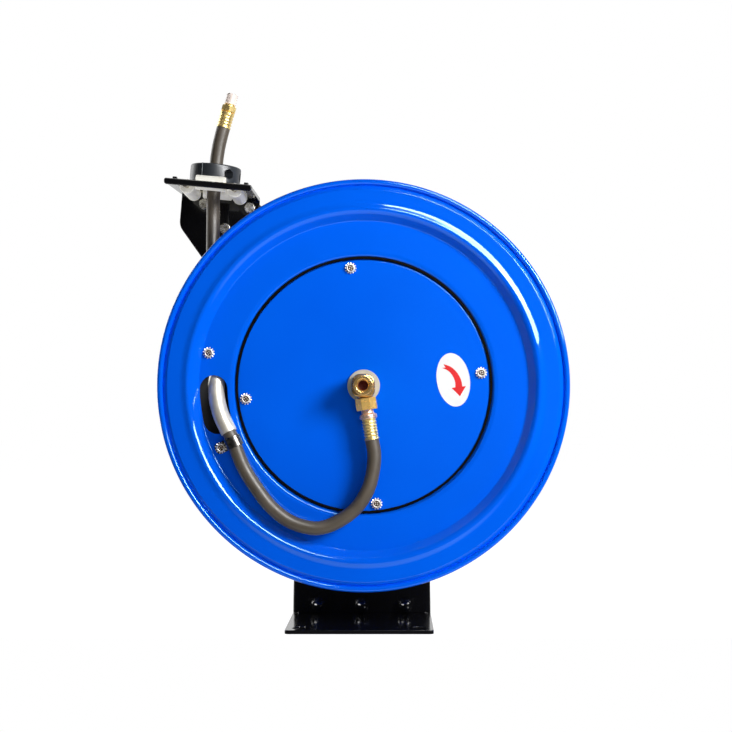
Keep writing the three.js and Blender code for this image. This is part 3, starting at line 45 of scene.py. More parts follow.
# Everything is built in millimetres, in the frame of the CAD, and scaled in mesh_of().
MM = 0.001
AXIS_X, AXIS_Z = 4.1, 247.5                          # the spool's axis, along Y
PORT_Y = -73.6                                       # middle of the swivel's port
CREST_Y, REAR_CREST_Y = -72, 37                      # crests of the two flanges
RING_Y = -62                                         # flat ring of the front flange
COVER_Y = -59                                        # front face of the spring cover
SHEET = 1.5                                          # thickness of the flanges and the cover
WHEEL_Y = 31.6, 36.6                                 # faces of the ratchet wheel and the pawl
ARM_Y = 44.2, 48.2                                   # faces of the guide arm
UPRIGHT_Y = 48.5                                     # front face of the upright
HOSE_RADIUS = 7
UP = rotation(90, "X")                               # from along Y to along Z
ACROSS = rotation(-90, "Z")                          # from along Y to along X
AXIS = Matrix.Translation((AXIS_X, 0, AXIS_Z))
PORT = Matrix.Translation((AXIS_X, PORT_Y, AXIS_Z)) @ rotation(-9, "Y") @ rotation(-90, "X")
GUIDE = Matrix.Translation((-153, -5, 454.4)) @ rotation(4.9, "Y")
STOP = GUIDE @ Matrix.Translation((0, 0, 4.1)) @ rotation(-25, "Z")
COUPLING = Matrix.Translation((-143.42, -5, 517.69)) @ rotation(15.5, "Y") @ UP

scene = bpy.context.scene
scene.view_settings.view_transform = "Standard"

# ------------------------ camera
camera = bpy.data.objects.new("camera", bpy.data.cameras.new("camera"))
scene.collection.objects.link(camera)
camera.location = (0.0337, -1.572, 0.2242)
camera.rotation_euler = (math.radians(90), 0, 0)
camera.data.lens = 73.77
camera.data.sensor_width = 36
camera.data.shift_x = -0.0369
camera.data.shift_y = 0.0587
scene.camera = camera


# ------------------------ plane geometry
def polar(radius, angle):
    return radius * math.cos(math.radians(angle)), radius * math.sin(math.radians(angle))


def arc(x, y, radius, angles):
    """Points round (x, y) at those angles, in degrees."""
    return [(x + dx, y + dy) for dx, dy in (polar(radius, angle) for angle in angles)]


def spread(first, last, count):
    return [first + (last - first) * i / count for i in range(count + 1)]


def smoothstep(x):
    x = min(max(x, 0), 1)
    return x * x * (3 - 2 * x)


def rounded(corners, closed=True, step=9):
    """Corners [x, y, reach] with an arc that starts that far from each; without reach it stays sharp."""
    made = []
    for i, (x, y, *rest) in enumerate(corners):
        here = Vector((x, y))
        if not rest or rest[0] <= 0 or (not closed and i in (0, len(corners) - 1)):
            made.append((x, y))
            continue
        before = Vector(corners[i - 1][:2]) - here
        after = Vector(corners[(i + 1) % len(corners)][:2]) - here
        reach = min(rest[0], before.length * 0.49, after.length * 0.49)
        u, v = before.normalized(), after.normalized()
        inside = u.angle(v)
        if math.pi - inside < 0.01:
            made.append((x, y))
            continue
        centre = here + (u + v).normalized() * reach / math.cos(inside / 2)
        first = here + u * reach - centre
        sweep = math.pi - inside
        sign = 1 if u.x * v.y - u.y * v.x < 0 else -1
        count = max(2, math.ceil(math.degrees(sweep) / step))
        for k in range(count + 1):
            a = sign * sweep * k / count
            made.append((centre.x + first.x * math.cos(a) - first.y * math.sin(a),
                         centre.y + first.x * math.sin(a) + first.y * math.cos(a)))
    return made


def shifted(line, distance):
    """Moves an open line of points sideways, corners mitred."""
    made = []
    for i, (x, y) in enumerate(line):
        here = Vector((x, y))
        into = (here - Vector(line[i - 1])).normalized() if i else None
        out = (Vector(line[i + 1]) - here).normalized() if i + 1 < len(line) else None
        a, b = into or out, out or into
        normal = Vector((-(a.y + b.y), a.x + b.x)).normalized()
        made.append(tuple(here + normal * distance / normal.dot(Vector((-a.y, a.x)))))
    return made


def drawn_in(loop, distance):
    """A closed loop moved inward."""
    area = sum(a[0] * b[1] - b[0] * a[1] for a, b in zip(loop, loop[1:] + loop[:1]))
    sign = 1 if area > 0 else -1
    made = []
    for i, (x, y) in enumerate(loop):
        here = Vector((x, y))
        a = (here - Vector(loop[i - 1])).normalized()
        b = (Vector(loop[(i + 1) % len(loop)]) - here).normalized()
        normal = Vector((-(a.y + b.y), a.x + b.x)).normalized()
        made.append(tuple(here + normal * sign * distance / max(normal.dot(Vector((-a.y, a.x))), 0.5)))
    return made


def circle(x, y, radius, steps=32):
    return arc(x, y, radius, spread(0, 360, steps)[:-1])


def oblong(x, y, width, length):
    half = (length - width) / 2
    return (arc(x, y + half, width / 2, range(0, 181, 12))
            + arc(x, y - half, width / 2, range(180, 361, 12)))


# ------------------------ forms: (corners, faces)
def placed(form, *turns):
    matrix = Matrix.Identity(4)
    for turn in turns:
        matrix = matrix @ (turn if isinstance(turn, Matrix) else Matrix.Translation(turn))
    return [matrix @ Vector(v) for v in form[0]], form[1]


def together(*forms):
    corners, faces = [], []
    for form in forms:
        start = len(corners)
        corners += form[0]
        faces += [tuple(start + i for i in face) for face in form[1]]
    return corners, faces


def walls(starts, count):
    """Faces between rings of that many corners, given pairs of the rings' first corners."""
    return [(a + k, a + (k + 1) % count, b + (k + 1) % count, b + k)
            for a, b in starts for k in range(count)]


def turned(profile, steps=72, closed=True):
    """Revolves [radius, y] pairs about the Y axis."""
    corners, rings, faces = [], [], []
    for radius, y in profile:
        if radius < 1e-6:
            rings.append([len(corners)] * steps)
            corners.append((0, y, 0))
            continue
        rings.append(range(len(corners), len(corners) + steps))
        corners += [(x, y, z) for x, z in circle(0, 0, radius, steps)]
    for a, b in zip(rings, [*rings[1:], *(rings[:1] if closed else [])]):
        for k in range(steps):
            j = (k + 1) % steps
            face = [a[k], a[j], b[j], b[k]]
            face = [v for i, v in enumerate(face) if v not in face[:i]]
            if len(face) > 2:
                faces.append(tuple(face))
    return corners, faces


def slab(outline, holes, low, high, edge=0.4):
    """A plate of [u, v] loops between two heights, its edges broken; as (u, v, height)."""
    corners, faces = [], []
    loops = [outline, *holes]
    drawn = [drawn_in(outline, edge)] + [drawn_in(hole, -edge) for hole in holes]
    levels = [(low, drawn), (low + edge, loops), (high - edge, loops), (high, drawn)]
    starts = []
    for height, level in levels:
        starts.append(len(corners))
        corners += [(u, v, height) for loop in level for u, v in loop]
    at = 0
    for loop in loops:
        faces += walls([(a + at, b + at) for a, b in zip(starts, starts[1:])], len(loop))
        at += len(loop)
    flat = geometry.tessellate_polygon([[Vector((u, v, 0)) for u, v in loop] for loop in drawn])
    for start in (starts[0], starts[-1]):
        faces += [tuple(start + i for i in triangle) for triangle in flat]
    return corners, faces


def stood(form):
    """A slab's (u, v, height) as an upright plate: x, z and y."""
    return [(u, w, v) for u, v, w in form[0]], form[1]


def frames(path):
    """Each point and two cross directions there, carried along without twist."""
    path = [Vector(p) for p in path]
    last = len(path) - 1
    ways = [(path[min(i + 1, last)] - path[max(i - 1, 0)]).normalized() for i in range(last + 1)]
    side = ways[0].orthogonal().normalized()
    made = []
    for at, way in zip(path, ways):
        side = (side - way * side.dot(way)).normalized()
        made.append((at, side, way.cross(side)))
    return made


def swept(path, radius, sides=28, bore=0):
    """A tube on ring centres; a bore makes it a pipe."""
    rings = []
    for r in (radius, bore) if bore else (radius,):
        row = [[at + side * dx + up * dy for dx, dy in circle(0, 0, r, sides)]
               for at, side, up in frames(path)]
        rings += row if r == radius else row[::-1]
    corners = [p for ring in rings for p in ring]
    starts = [i * sides for i in range(len(rings))]
    if bore:
        return corners, walls([*zip(starts, starts[1:]), (starts[-1], 0)], sides)
    ends = [tuple(range(start, start + sides)) for start in (0, starts[-1])]
    return corners, [*walls(zip(starts, starts[1:]), sides), *ends]


def curve_through(points, steps):
    """Centripetal Catmull-Rom line through the points, with that many steps between two of them."""
    points = [Vector(p) for p in points]
    ends = [points[0] * 2 - points[1], *points, points[-1] * 2 - points[-2]]
    made = []
    for i in range(len(points) - 1):
        p0, p1, p2, p3 = ends[i:i + 4]
        d0, d1, d2 = ((b - a).length ** 0.5 for a, b in ((p0, p1), (p1, p2), (p2, p3)))
        t1 = ((p1 - p0) / d0 - (p2 - p0) / (d0 + d1) + (p2 - p1) / d1) * d1
        t2 = ((p2 - p1) / d1 - (p3 - p1) / (d1 + d2) + (p3 - p2) / d2) * d1
        for k in range(steps):
            t = k / steps
            made.append(p1 + t1 * t + (p2 * 3 - p1 * 3 - t1 * 2 - t2) * t ** 2
                        + (p1 * 2 - p2 * 2 + t1 + t2) * t ** 3)
    return [*made, points[-1]]


def prism(flats, low, high, bore=0, bevels=(True, True), turn=90, sides=6):
    """A head or nut along Y whose corners are turned off at a slope; turn is the angle of one corner."""
    steps, inner, slope, lead = 72, flats / 2 * 0.97, 0.55, 0.6
    angles = [turn + 360 * k / steps for k in range(steps)]
    half = 180 / sides
    reach = [flats / 2 / math.cos(math.radians((a - turn) % (2 * half) - half)) for a in angles]
    fall = [(r - inner) * slope for r in reach]
    rings = []
    for y, sign, bevel in ((low, 1, bevels[0]), (high, -1, bevels[1])):
        rim = [(*polar(r, a), y + (sign * f if bevel else 0)) for r, a, f in zip(reach, angles, fall)]
        face = [(*polar(inner, a), y) for a in angles]
        rings += [face, rim] if sign > 0 else [rim, face]
    if bore:
        rings += [[(*polar(r, a), y) for a in angles] for r, y in
                  ((bore + lead, high), (bore, high - lead), (bore, low + lead), (bore + lead, low))]
    corners = [(x, y, z) for ring in rings for x, z, y in ring]
    starts = [i * steps for i in range(len(rings))]
    if bore:
        return corners, walls([*zip(starts, starts[1:]), (starts[-1], 0)], steps)
    ends = [tuple(range(start, start + steps)) for start in (0, starts[-1])]
    return corners, [*walls(zip(starts, starts[1:]), steps), *ends]


def disc(radius, low, high, edge=0.3, bore=0, steps=48):
    corners = [(bore, low, 0.2 if bore else 0), (radius, low, edge), (radius, high, edge),
               (bore, high, 0.2 if bore else 0)]
    return turned(rounded(corners, step=30), steps)


# ------------------------ meshes
def mesh_of(name, form):
    mesh = bpy.data.meshes.new(name)
    mesh.from_pydata([Vector(v) * MM for v in form[0]], [], form[1])
    work = bmesh.new()
    work.from_mesh(mesh)
    bmesh.ops.remove_doubles(work, verts=work.verts, dist=1e-7)
    bmesh.ops.recalc_face_normals(work, faces=work.faces)
    work.to_mesh(mesh)
    work.free()
    return mesh


def carved(form, *tools, keep="DIFFERENCE"):
    """The form less the tools, or what it shares with them."""
    made = []
    for i, part in enumerate((form, together(*tools))):
        made.append(bpy.data.objects.new(f"carve_{i}", mesh_of(f"carve_{i}", part)))
        scene.collection.objects.link(made[-1])
    cut = made[0].modifiers.new("cut", "BOOLEAN")
    cut.operation, cut.solver, cut.object = keep, "EXACT", made[1]
    bpy.context.view_layer.update()
    found = made[0].evaluated_get(bpy.context.evaluated_depsgraph_get()).data
    result = ([v.co / MM for v in found.vertices], [tuple(p.vertices) for p in found.polygons])
    for o in made:
        bpy.data.objects.remove(o)
    return result


def piece(name, form, body, material, *nodes, smooth=40, weighted=True, second=None):
    """A shown piece that rides on a body and stands for CAD nodes; second is another (form, material)."""
    both = together(form, second[0]) if second else form
    mesh = mesh_of(name, both)
    mesh.shade_smooth()
    mesh.set_sharp_from_angle(angle=math.radians(smooth))
    mesh.materials.append(material)
    if second:
        mesh.materials.append(second[1])
        for i in range(len(form[1]), len(both[1])):
            mesh.polygons[i].material_index = 1
    obj = bpy.data.objects.new(name, mesh)
    scene.collection.objects.link(obj)
    if weighted:
        obj.modifiers.new("normals", "WEIGHTED_NORMAL").keep_sharp = True
    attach(obj, body)
    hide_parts(*nodes)
    return obj


# ------------------------ materials
class Finish:
    """A Principled material and the nodes that vary it over the surface."""

    def __init__(self, name, **sockets):
        self.material = bpy.data.materials.new(name)
        self.material.use_nodes = True
        self.tree = self.material.node_tree
        self.shader = self.tree.nodes["Principled BSDF"]
        for socket, value in sockets.items():
            self.shader.inputs[socket.replace("_", " ")].default_value = value
        self.place = self.node("ShaderNodeTexCoord").outputs["Object"]
        self.bump = None

    def node(self, kind, **inputs):
        made = self.tree.nodes.new(kind)
        for socket, value in inputs.items():
            self.into(made.inputs[socket.replace("_", " ")], value)
        return made

    def into(self, socket, value):
        if isinstance(value, bpy.types.NodeSocket):
            self.tree.links.new(value, socket)
        else:
            socket.default_value = value

    def noise(self, scale, detail=3, stretch=(1, 1, 1), roughness=0.5):
        """Noise from 0 to 1 with that many lumps in a metre."""
        place = self.node("ShaderNodeMapping", Vector=self.place, Scale=stretch).outputs[0]
        found = self.node("ShaderNodeTexNoise", Vector=place, Scale=scale, Detail=detail,
                          Roughness=roughness)
        return found.outputs["Fac"]

    def cells(self, scale):
        return self.node("ShaderNodeTexVoronoi", Vector=self.place, Scale=scale).outputs["Distance"]

    def span(self, value, low, high, start=0.3, end=0.7):
        return self.node("ShaderNodeMapRange", Value=value, From_Min=start, From_Max=end,
                         To_Min=low, To_Max=high).outputs[0]

    def ramp(self, value, *stops):
        made = self.node("ShaderNodeValToRGB", Fac=value)
        for i, (at, colour) in enumerate(stops):
            stop = made.color_ramp.elements[i] if i < 2 else made.color_ramp.elements.new(at)
            stop.position, stop.color = at, (*colour, 1)
        return made.outputs["Color"]

    def colour(self, value):
        self.into(self.shader.inputs["Base Color"], value)

    def roughness(self, value):
        self.into(self.shader.inputs["Roughness"], value)

    def relief(self, value, depth):
        """Adds bumps that many millimetres deep."""
        made = self.node("ShaderNodeBump", Height=value, Distance=depth * MM, Strength=1.0)
        if self.bump:
            self.into(made.inputs["Normal"], self.bump)
        self.bump = made.outputs["Normal"]
        self.into(self.shader.inputs["Normal"], self.bump)
        return self


def paint(name, pale, dark, rough, peel, **sockets):
    """Glossy powder coat: orange peel, slow waves of the sheet and a few dust specks."""
    f = Finish(name, **sockets)
    slow, fine = f.noise(9, 2), f.noise(420, 4)
    f.colour(f.ramp(slow, (0.3, dark), (0.7, pale)))
    f.roughness(f.span(fine, rough * 0.85, rough * 1.2))
    f.relief(f.noise(14, 1), 0.05).relief(f.noise(260, 2), peel)
    f.relief(f.span(f.cells(90), 1, 0, 0.0, 0.05), 0.03)
    return f.material


def metal(name, pale, dark, rough, depth=0.004, stretch=(1, 1, 1), mottle=120, metallic=1.0):
    """Bare or plated metal: mottled tint, uneven gloss and fine grain."""
    f = Finish(name, Metallic=metallic)
    f.colour(f.ramp(f.noise(mottle, 5, roughness=0.6), (0.32, dark), (0.68, pale)))
    f.roughness(f.span(f.noise(mottle * 3, 4), rough * 0.75, rough * 1.35))
    f.relief(f.noise(900, 3, stretch), depth)
    return f.material


def moulded(name, pale, dark, rough, grain=700, depth=0.01, **sockets):
    """Moulded plastic or rubber: slight mottling and a matt grain."""
    f = Finish(name, **sockets)
    f.colour(f.ramp(f.noise(60, 4), (0.3, dark), (0.7, pale)))
    f.roughness(f.span(f.noise(grain * 0.4, 3), rough * 0.85, rough * 1.15))
    f.relief(f.noise(grain, 3), depth)
    return f.material


blue = paint("blue_powder_coat", (0.0, 0.125, 0.90), (0.0, 0.112, 0.84), 0.06, 0.004,
             IOR=1.6, Specular_Tint=(0.55, 0.97, 1, 1))
black = paint("black_powder_coat", (0.004, 0.004, 0.005), (0.002, 0.002, 0.003), 0.22, 0.015,
              Coat_Weight=0.8, Coat_Roughness=0.06, Specular_IOR_Level=0.2)
zinc = metal("yellowish_zinc", (0.66, 0.62, 0.52), (0.40, 0.36, 0.28), 0.22, metallic=0.92)
# Zinc with a strong, coarse mottle of near-white and dark: painted glints on the bracket bolts.
glint_mottled_zinc = metal("glint_mottled_zinc", (0.98, 0.96, 0.90), (0.22, 0.20, 0.15), 0.24, mottle=240, metallic=0.75)
screw_zinc = metal("screw_zinc", (0.95, 0.92, 0.88), (0.80, 0.74, 0.68), 0.30, metallic=0.45)
# Dark brown painted as shade into the screws' recesses and round their heads.
painted_recess_shade = metal("painted_recess_shade", (0.16, 0.09, 0.06), (0.06, 0.03, 0.02), 0.36, metallic=0.5)
# Dark red painted as shade at the bottom of the swivel's bore.
painted_bore_shade = metal("painted_bore_shade", (0.16, 0.016, 0.006), (0.07, 0.007, 0.003), 0.30, metallic=0.2)
steel = metal("turned_steel", (0.58, 0.58, 0.57), (0.42, 0.42, 0.42), 0.26, stretch=(1, 12, 1))
sleeve_steel = metal("sleeve_steel", (0.70, 0.66, 0.58), (0.58, 0.54, 0.47), 0.42, mottle=60,
                     metallic=0.45)
clip_steel = metal("clip_steel", (0.16, 0.15, 0.14), (0.08, 0.075, 0.07), 0.28)
spring_steel = metal("spring_steel", (0.20, 0.21, 0.23), (0.10, 0.10, 0.12), 0.35)
brass = metal("brass", (0.92, 0.60, 0.23), (0.78, 0.47, 0.15), 0.22, depth=0.001, mottle=60,
              metallic=0.82)
nut_brass = metal("nut_brass", (1.0, 0.66, 0.22), (0.90, 0.55, 0.14), 0.24, depth=0.001, mottle=60,
                  metallic=0.5)
gold_brass = metal("crimped_brass", (0.98, 0.76, 0.32), (0.88, 0.63, 0.22), 0.26, depth=0.001, mottle=80,
                   metallic=0.7)
copper = metal("reddish_brass", (0.92, 0.66, 0.52), (0.76, 0.50, 0.38), 0.28, depth=0.001, metallic=0.7)
rubber = moulded("hose_rubber", (0.104, 0.084, 0.062), (0.074, 0.060, 0.044), 0.44, grain=500,
                 Specular_IOR_Level=0.45)
# The hose rubber painted about ten times darker: painted shade for the hose wound inside the spool.
shaded_wound_rubber = moulded("shaded_wound_rubber", (0.010, 0.009, 0.008), (0.006, 0.005, 0.005), 0.55,
                       Specular_IOR_Level=0.3)
# Near-black for the ring in the gap round the cover: painted shade.
gap_shade_black = moulded("gap_shade_black", (0.0014, 0.0014, 0.0016), (0.0006, 0.0006, 0.0008), 0.7,
                      Specular_IOR_Level=0.05)
# White nylon with a faint warm glow: painted light that keeps the rollers white.
glowing_nylon = moulded("glowing_white_nylon", (0.96, 0.95, 0.89), (0.88, 0.86, 0.78), 0.36,
                Emission_Color=(1.0, 0.95, 0.82, 1), Emission_Strength=0.16)
washer_nylon = moulded("grey_nylon", (0.50, 0.50, 0.47), (0.40, 0.39, 0.36), 0.42)
dark_plastic = moulded("dark_plastic", (0.030, 0.036, 0.044), (0.020, 0.024, 0.030), 0.36, grain=900)
# Light grey for the strip along the stop's split: a painted highlight.
seam_highlight_grey = moulded("seam_highlight_grey", (0.26, 0.28, 0.30), (0.20, 0.22, 0.24), 0.36)
clear_plastic = moulded("clear_plastic", (0.95, 0.84, 0.78), (0.90, 0.74, 0.67), 0.28)
vinyl = moulded("white_vinyl", (0.90, 0.90, 0.90), (0.84, 0.84, 0.85), 0.32, depth=0.006)
red_print = moulded("red_print", (0.80, 0.012, 0.016), (0.70, 0.008, 0.012), 0.34, depth=0.006)

# ------------------------ hoses
# The CAD's points in its frame, but for the inlet's last two, which lie 0.9 and 2.4 mm further right.
INLET_ROUTE = [(8.59, -73.6, -54.24), (10.78, -73.6, -68.07), (9.8, -74.2, -83.5), (5.1, -75, -102.1),
               (-6.3, -75.5, -121.1), (-24.3, -75.5, -135.1), (-43.2, -75.5, -142.1),
               (-57.2, -75.2, -141.1), (-74.1, -74.8, -135.1), (-92.1, -74.2, -121.1),
               (-107.1, -73.3, -102.1), (-120.1, -72, -81.2), (-130.1, -71.1, -56.3),
               (-134.3, -71, -46.8), (-143.2, -66.6, -28.9), (-148.3, -58.5, -10.6),
               (-148.7, -50.5, 8.1), (-145.2, -47, 22.5)]
OUTLET_ROUTE = [(-152.6, -29.25, 261.8), (-152.6, -29.25, 280), (-152.6, -27, 320), (-153, -18, 375),
                (-153.8, -8, 425), (-154.02, -5, 442.44), (-152.66, -5, 458.39), (-151.46, -5, 472.33),
                (-150.44, -5, 484.29), (-148.3, -5, 498), (-146, -5, 508), (-143.5, -5, 517.4)]
OUTER_RADIUS, LOWER_RADIUS, REAR_Y, PITCH = 156.7, 142.5, 18.2, 14.6
LOWER_TURNS, OUTER_TURNS = 5, 3.25
STEP, BOTTOM = 5, 270                                # degrees between two points, and of the lowest one
SETTLE, CLIMB = 35, 60                               # degrees onto the lower layer, and up to the outer
DROP, DROP_TURN = 2.4, 10                            # first move to the rear, and its degrees
END_Z = 14                                           # where the outer layer ends, above the axis


def wound_route():
    """From the inlet hose's end round the lower layer to the rear, up, and forward as the outer layer."""
    x, y, z = INLET_ROUTE[-1]
    first_angle, first_radius = math.degrees(math.atan2(z, x)) % 360, math.hypot(x, z)
    lower = first_angle - BOTTOM + LOWER_TURNS * 360
    points = []
    count = round(lower / STEP)
    for i in range(count):
        gone = lower * i / count
        radius = first_radius + (LOWER_RADIUS - first_radius) * smoothstep(gone / SETTLE)
        radius += (OUTER_RADIUS - LOWER_RADIUS) * smoothstep((gone - lower + CLIMB) / CLIMB)
        share = min(max((gone - STEP) / (lower - CLIMB - STEP), 0), 1)
        px, pz = polar(radius, first_angle - gone)
        points.append((px, y + DROP * smoothstep(gone / DROP_TURN) + (REAR_Y - y - DROP) * share, pz))
    count = round(OUTER_TURNS * 360 / STEP)
    for i in range(count + 1):
        turns = OUTER_TURNS * i / count
        px, pz = polar(OUTER_RADIUS, BOTTOM - 360 * turns)
        points.append((px, REAR_Y - PITCH * turns, pz))
    return [*points, (*points[-1][:2], END_Z)]


def hose(name, path, place, body, finish, *nodes):
    """The hose's piece and its path in metres."""
    path = [place @ Vector(p) for p in path]
    tube = piece(name, swept(path, HOSE_RADIUS, 32), body, finish, *nodes, weighted=False)
    return tube, [tuple(p * MM) for p in path]


inlet_hose, inlet_path = hose("inlet_hose_tube", curve_through(INLET_ROUTE, 8), AXIS, "spool", rubber,
                              "inlet_hose")
wound_hose, wound_path = hose("wound_hose", wound_route(), AXIS, "spool", shaded_wound_rubber, "hose_core",
                              "hose_outer_layer")
outlet_hose, outlet_path = hose("outlet_hose_tube", curve_through(OUTLET_ROUTE, 8), Matrix.Identity(4),
                                "frame", rubber, "outlet_hose")

# ------------------------ spool
# The pressed sheet's outer surface, as [radius, depth behind the crest, reach of the corner's arc].
RIM = [(166, 10, 1.0), (173.2, 2.07, 2.2), (177, 0, 2.2), (183, 2.3, 2.4), (197, 2.9, 0.5),
       (200.2, 5.4, 0.8), (201.5, 7.2, 0.5)]
FRONT_SHEET = [(110, 14.8), (125.4, 14.8, 0.4), (125.6, 18.6, 0.8), (128.6, 18.6, 0.8), (129, 14.4, 0.8),
               (131.4, 10.9, 0.9), (135, 10, 1.4), *RIM]
REAR_SHEET = [(19.3, 10), *RIM]
BEAD_MIDDLE, BEAD_RADIUS = (204.6, 6.2), 2.9         # the rolled edge
COVER_RADIUS = 126.9
GAP_SHADE_OFFSET = 0.4, 0, 1.2                            # the gap round the cover is wider at the top: the black ring in it, painted shade, sits 1.2 mm high


def flange_profile(sheet):
    """The sheet with its thickness and its rolled rim."""
    back = shifted([p[:2] for p in sheet], SHEET)
    back = [(*at, p[2] if len(p) > 2 else 0) for at, p in zip(back, sheet)]
    bead = arc(*BEAD_MIDDLE, BEAD_RADIUS, range(208, 498, 10))
    return [*rounded([*sheet, bead[0]], closed=False, step=6)[:-1], *bead,
            *rounded([*back, bead[-1]], closed=False, step=10)[:-1][::-1]]


SLOT_RADIUS, SLOT_HALF = 151, 14                     # middle and half width of the hose slot
SLOT_START, SLOT_END = 181.31, 193.19                # angles of the middles of its round ends


def slot_outline():
    """Two arcs round the axis, joined by the round ends."""
    loop = []
    for side, start, end in ((1, SLOT_START, SLOT_END), (-1, SLOT_END, SLOT_START)):
        loop += [polar(SLOT_RADIUS + side * SLOT_HALF, a) for a in spread(start, end, 12)]
        first = end + 90 - side * 90
        loop += arc(*polar(SLOT_RADIUS, end), SLOT_HALF, [first + 10 * i for i in range(1, 18)])
    return loop


front = turned([(r, CREST_Y + depth) for r, depth in flange_profile(FRONT_SHEET)], 240)
front = carved(front, stood(slab(slot_outline(), [], -80, -50, 0.01)))
piece("front_flange_pressing", placed(front, AXIS), "spool", blue, "front_flange", smooth=55)
rear = turned([(r, REAR_CREST_Y - depth) for r, depth in flange_profile(REAR_SHEET)], 240)
piece("rear_flange_pressing", placed(rear, AXIS), "spool", blue, "rear_flange", smooth=55)
# A black ring in the gap round the cover: painted shade that is thicker at the top, not a real seal.
gap_shade_ring = turned([(127.2, -60.3), (129.4, -60.3), (129.4, -54.5), (127.2, -54.5)], 160)
piece("cover_gap_shade", placed(gap_shade_ring, AXIS, GAP_SHADE_OFFSET), "spool", gap_shade_black)
cover = turned(rounded([(8.3, COVER_Y + SHEET), (8.3, COVER_Y), (COVER_RADIUS, COVER_Y, 0.7),
                        (COVER_RADIUS, COVER_Y + SHEET)], step=15), 200)
piece("cover_disc", placed(cover, AXIS), "spool", blue, "spring_cover", smooth=60)

# A dark plate behind the slot, painted black as the shade inside it, and ridges like hose under the wound
# hose.
slot_shade = [*[polar(157.8, 168 + 2 * k) for k in range(12)], *[polar(136, 194 + 2 * k) for k in range(7)],
         *[polar(172, 206 - 2 * k) for k in range(20)]]
piece("slot_shade_plate", placed(stood(slab(slot_shade, [], -57, -55.5, 0.2)), AXIS), "spool", shaded_wound_rubber)
core = [(125.3, -50), (125.3, 25.2)]
for i in range(5, -1, -1):
    core += arc(128.4, -43 + 12.24 * i, HOSE_RADIUS, range(80, -81, -16))
piece("inner_windings", placed(turned(core, 96), AXIS), "spool", shaded_wound_rubber, "hose_core")


def screw_forms():
    """A low screw head with its seat at y = 0, as bright parts and dark parts: the dark is painted shade
    in the recess and round the head.
    """
    rim = turned(rounded([(2.9, 0), (2.9, -3, 0.3), (3.9, -3.2, 0.5), (4.4, -1.6, 0.6), (4.4, 0)],
                         step=20), 40)
    lumps = [placed(disc(0.62, -3.4, -1.5, 0.3, steps=12), (x, 0, z)) for x, z in circle(0, 0, 1.45, 4)]
    tooth = stood(slab([(4.5, -0.62), (5.9, -0.55), (5.9, 0.45), (4.5, 0.75)], [], -0.45, 0.45, 0.15))
    teeth = [placed(tooth, rotation(30 * k, "Y"), (0, -0.75, 0), rotation(22, "X")) for k in range(12)]
    # The recess floor and the washer under the teeth carry the painted shade.
    middle = turned([(0, -1.7), (2.95, -1.9), (2.95, -1), (0, -1)], 32, closed=False)
    washer = disc(4.9, -0.6, 0, 0.1)
    shank = turned([(0, -0.5), (2.5, -0.5), (2.5, 5), (0, 5)], 24, closed=False)
    return together(rim, *lumps, *teeth, shank), together(middle, washer)


# Each screw's name, place on the flange, seat and turn in degrees.
BRIGHT, SCREW_SHADE = screw_forms()
screws = [(f"cover_screw_{i + 1}", polar(119.4, 6.3 + 90 * i), COVER_Y - 0.3, 25 + 37 * i)
          for i in range(4)]
screws += [("flange_screw", polar(159.2, 168), RING_Y - 0.3, 12),
           ("clip_screw", (-143.3, -62.3), RING_Y - 3, 12)]
for name, (x, z), y, angle in screws:
    place = (AXIS, (x, y, z), rotation(angle, "Y"))
    piece(f"{name}_head", placed(BRIGHT, *place), "spool", screw_zinc, name, smooth=30,
          second=(placed(SCREW_SHADE, *place), painted_recess_shade))

# The sleeve starts past the clip and goes through the slot.
sleeve_path = curve_through(INLET_ROUTE[12:], 10)[10:41]
piece("sleeve_pipe", placed(swept(sleeve_path, 8.25, 48, bore=7.5), AXIS), "spool", sleeve_steel,
      "sleeve_tube", smooth=50)


def clip_form():
    """P-clip: a band with both ends brought together; x runs toward the screw, y toward the flange."""
    radius, band, tab = 8.8, 1.2, 20.5
    joint = math.degrees(math.asin((radius - 2 * band) / radius))
    outline = [(tab, radius), (tab, radius - 2 * band)]
    outline += [polar(radius, angle) for angle in spread(joint, -270, 60)]
    hole = circle(0, 0, radius - band, 48)
    mask = stood(slab(rounded([(-12, -7), (tab, -7, 6.9), (tab, 7, 6.9), (-12, 7)]), [], -15, 15, 0.01))
    return carved(slab(outline, [hole], -5.5, 5.5, 0.25), mask, keep="INTERSECT")


to_screw = Vector((-0.91, 0, -0.415)).normalized()
inward = Vector((0, 1, 0))
clip_turn = Matrix((to_screw, inward, to_screw.cross(inward))).transposed().to_4x4()
piece("clip_band", placed(clip_form(), AXIS, INLET_ROUTE[12], clip_turn), "spool", clip_steel,
      "hose_clip")

# swivel
block = stood(slab(rounded([(-11.6, -11.6, 7), (11.6, -11.6, 7), (11.6, 11.6, 9), (-11.6, 11.6, 9)]), [],
                   -85.6, -61.6, 1.2))
spigot = disc(8, -62, -49.5, 0.5)
neck = placed(disc(8, 2, 12.4, 0.3), PORT)
piece("swivel_casting", together(placed(together(block, spigot), AXIS), neck), "spool", brass,
      "swivel_body", smooth=50)
stem = turned(rounded([(4.9, PORT_Y), (4.9, -92.9, 0.5), (6.9, -94.9, 0.4), (10, -94.9, 1.0),
                       (10, -85.9, 0.4), (7.2, -85.9), (7.2, PORT_Y)], step=15), 64)
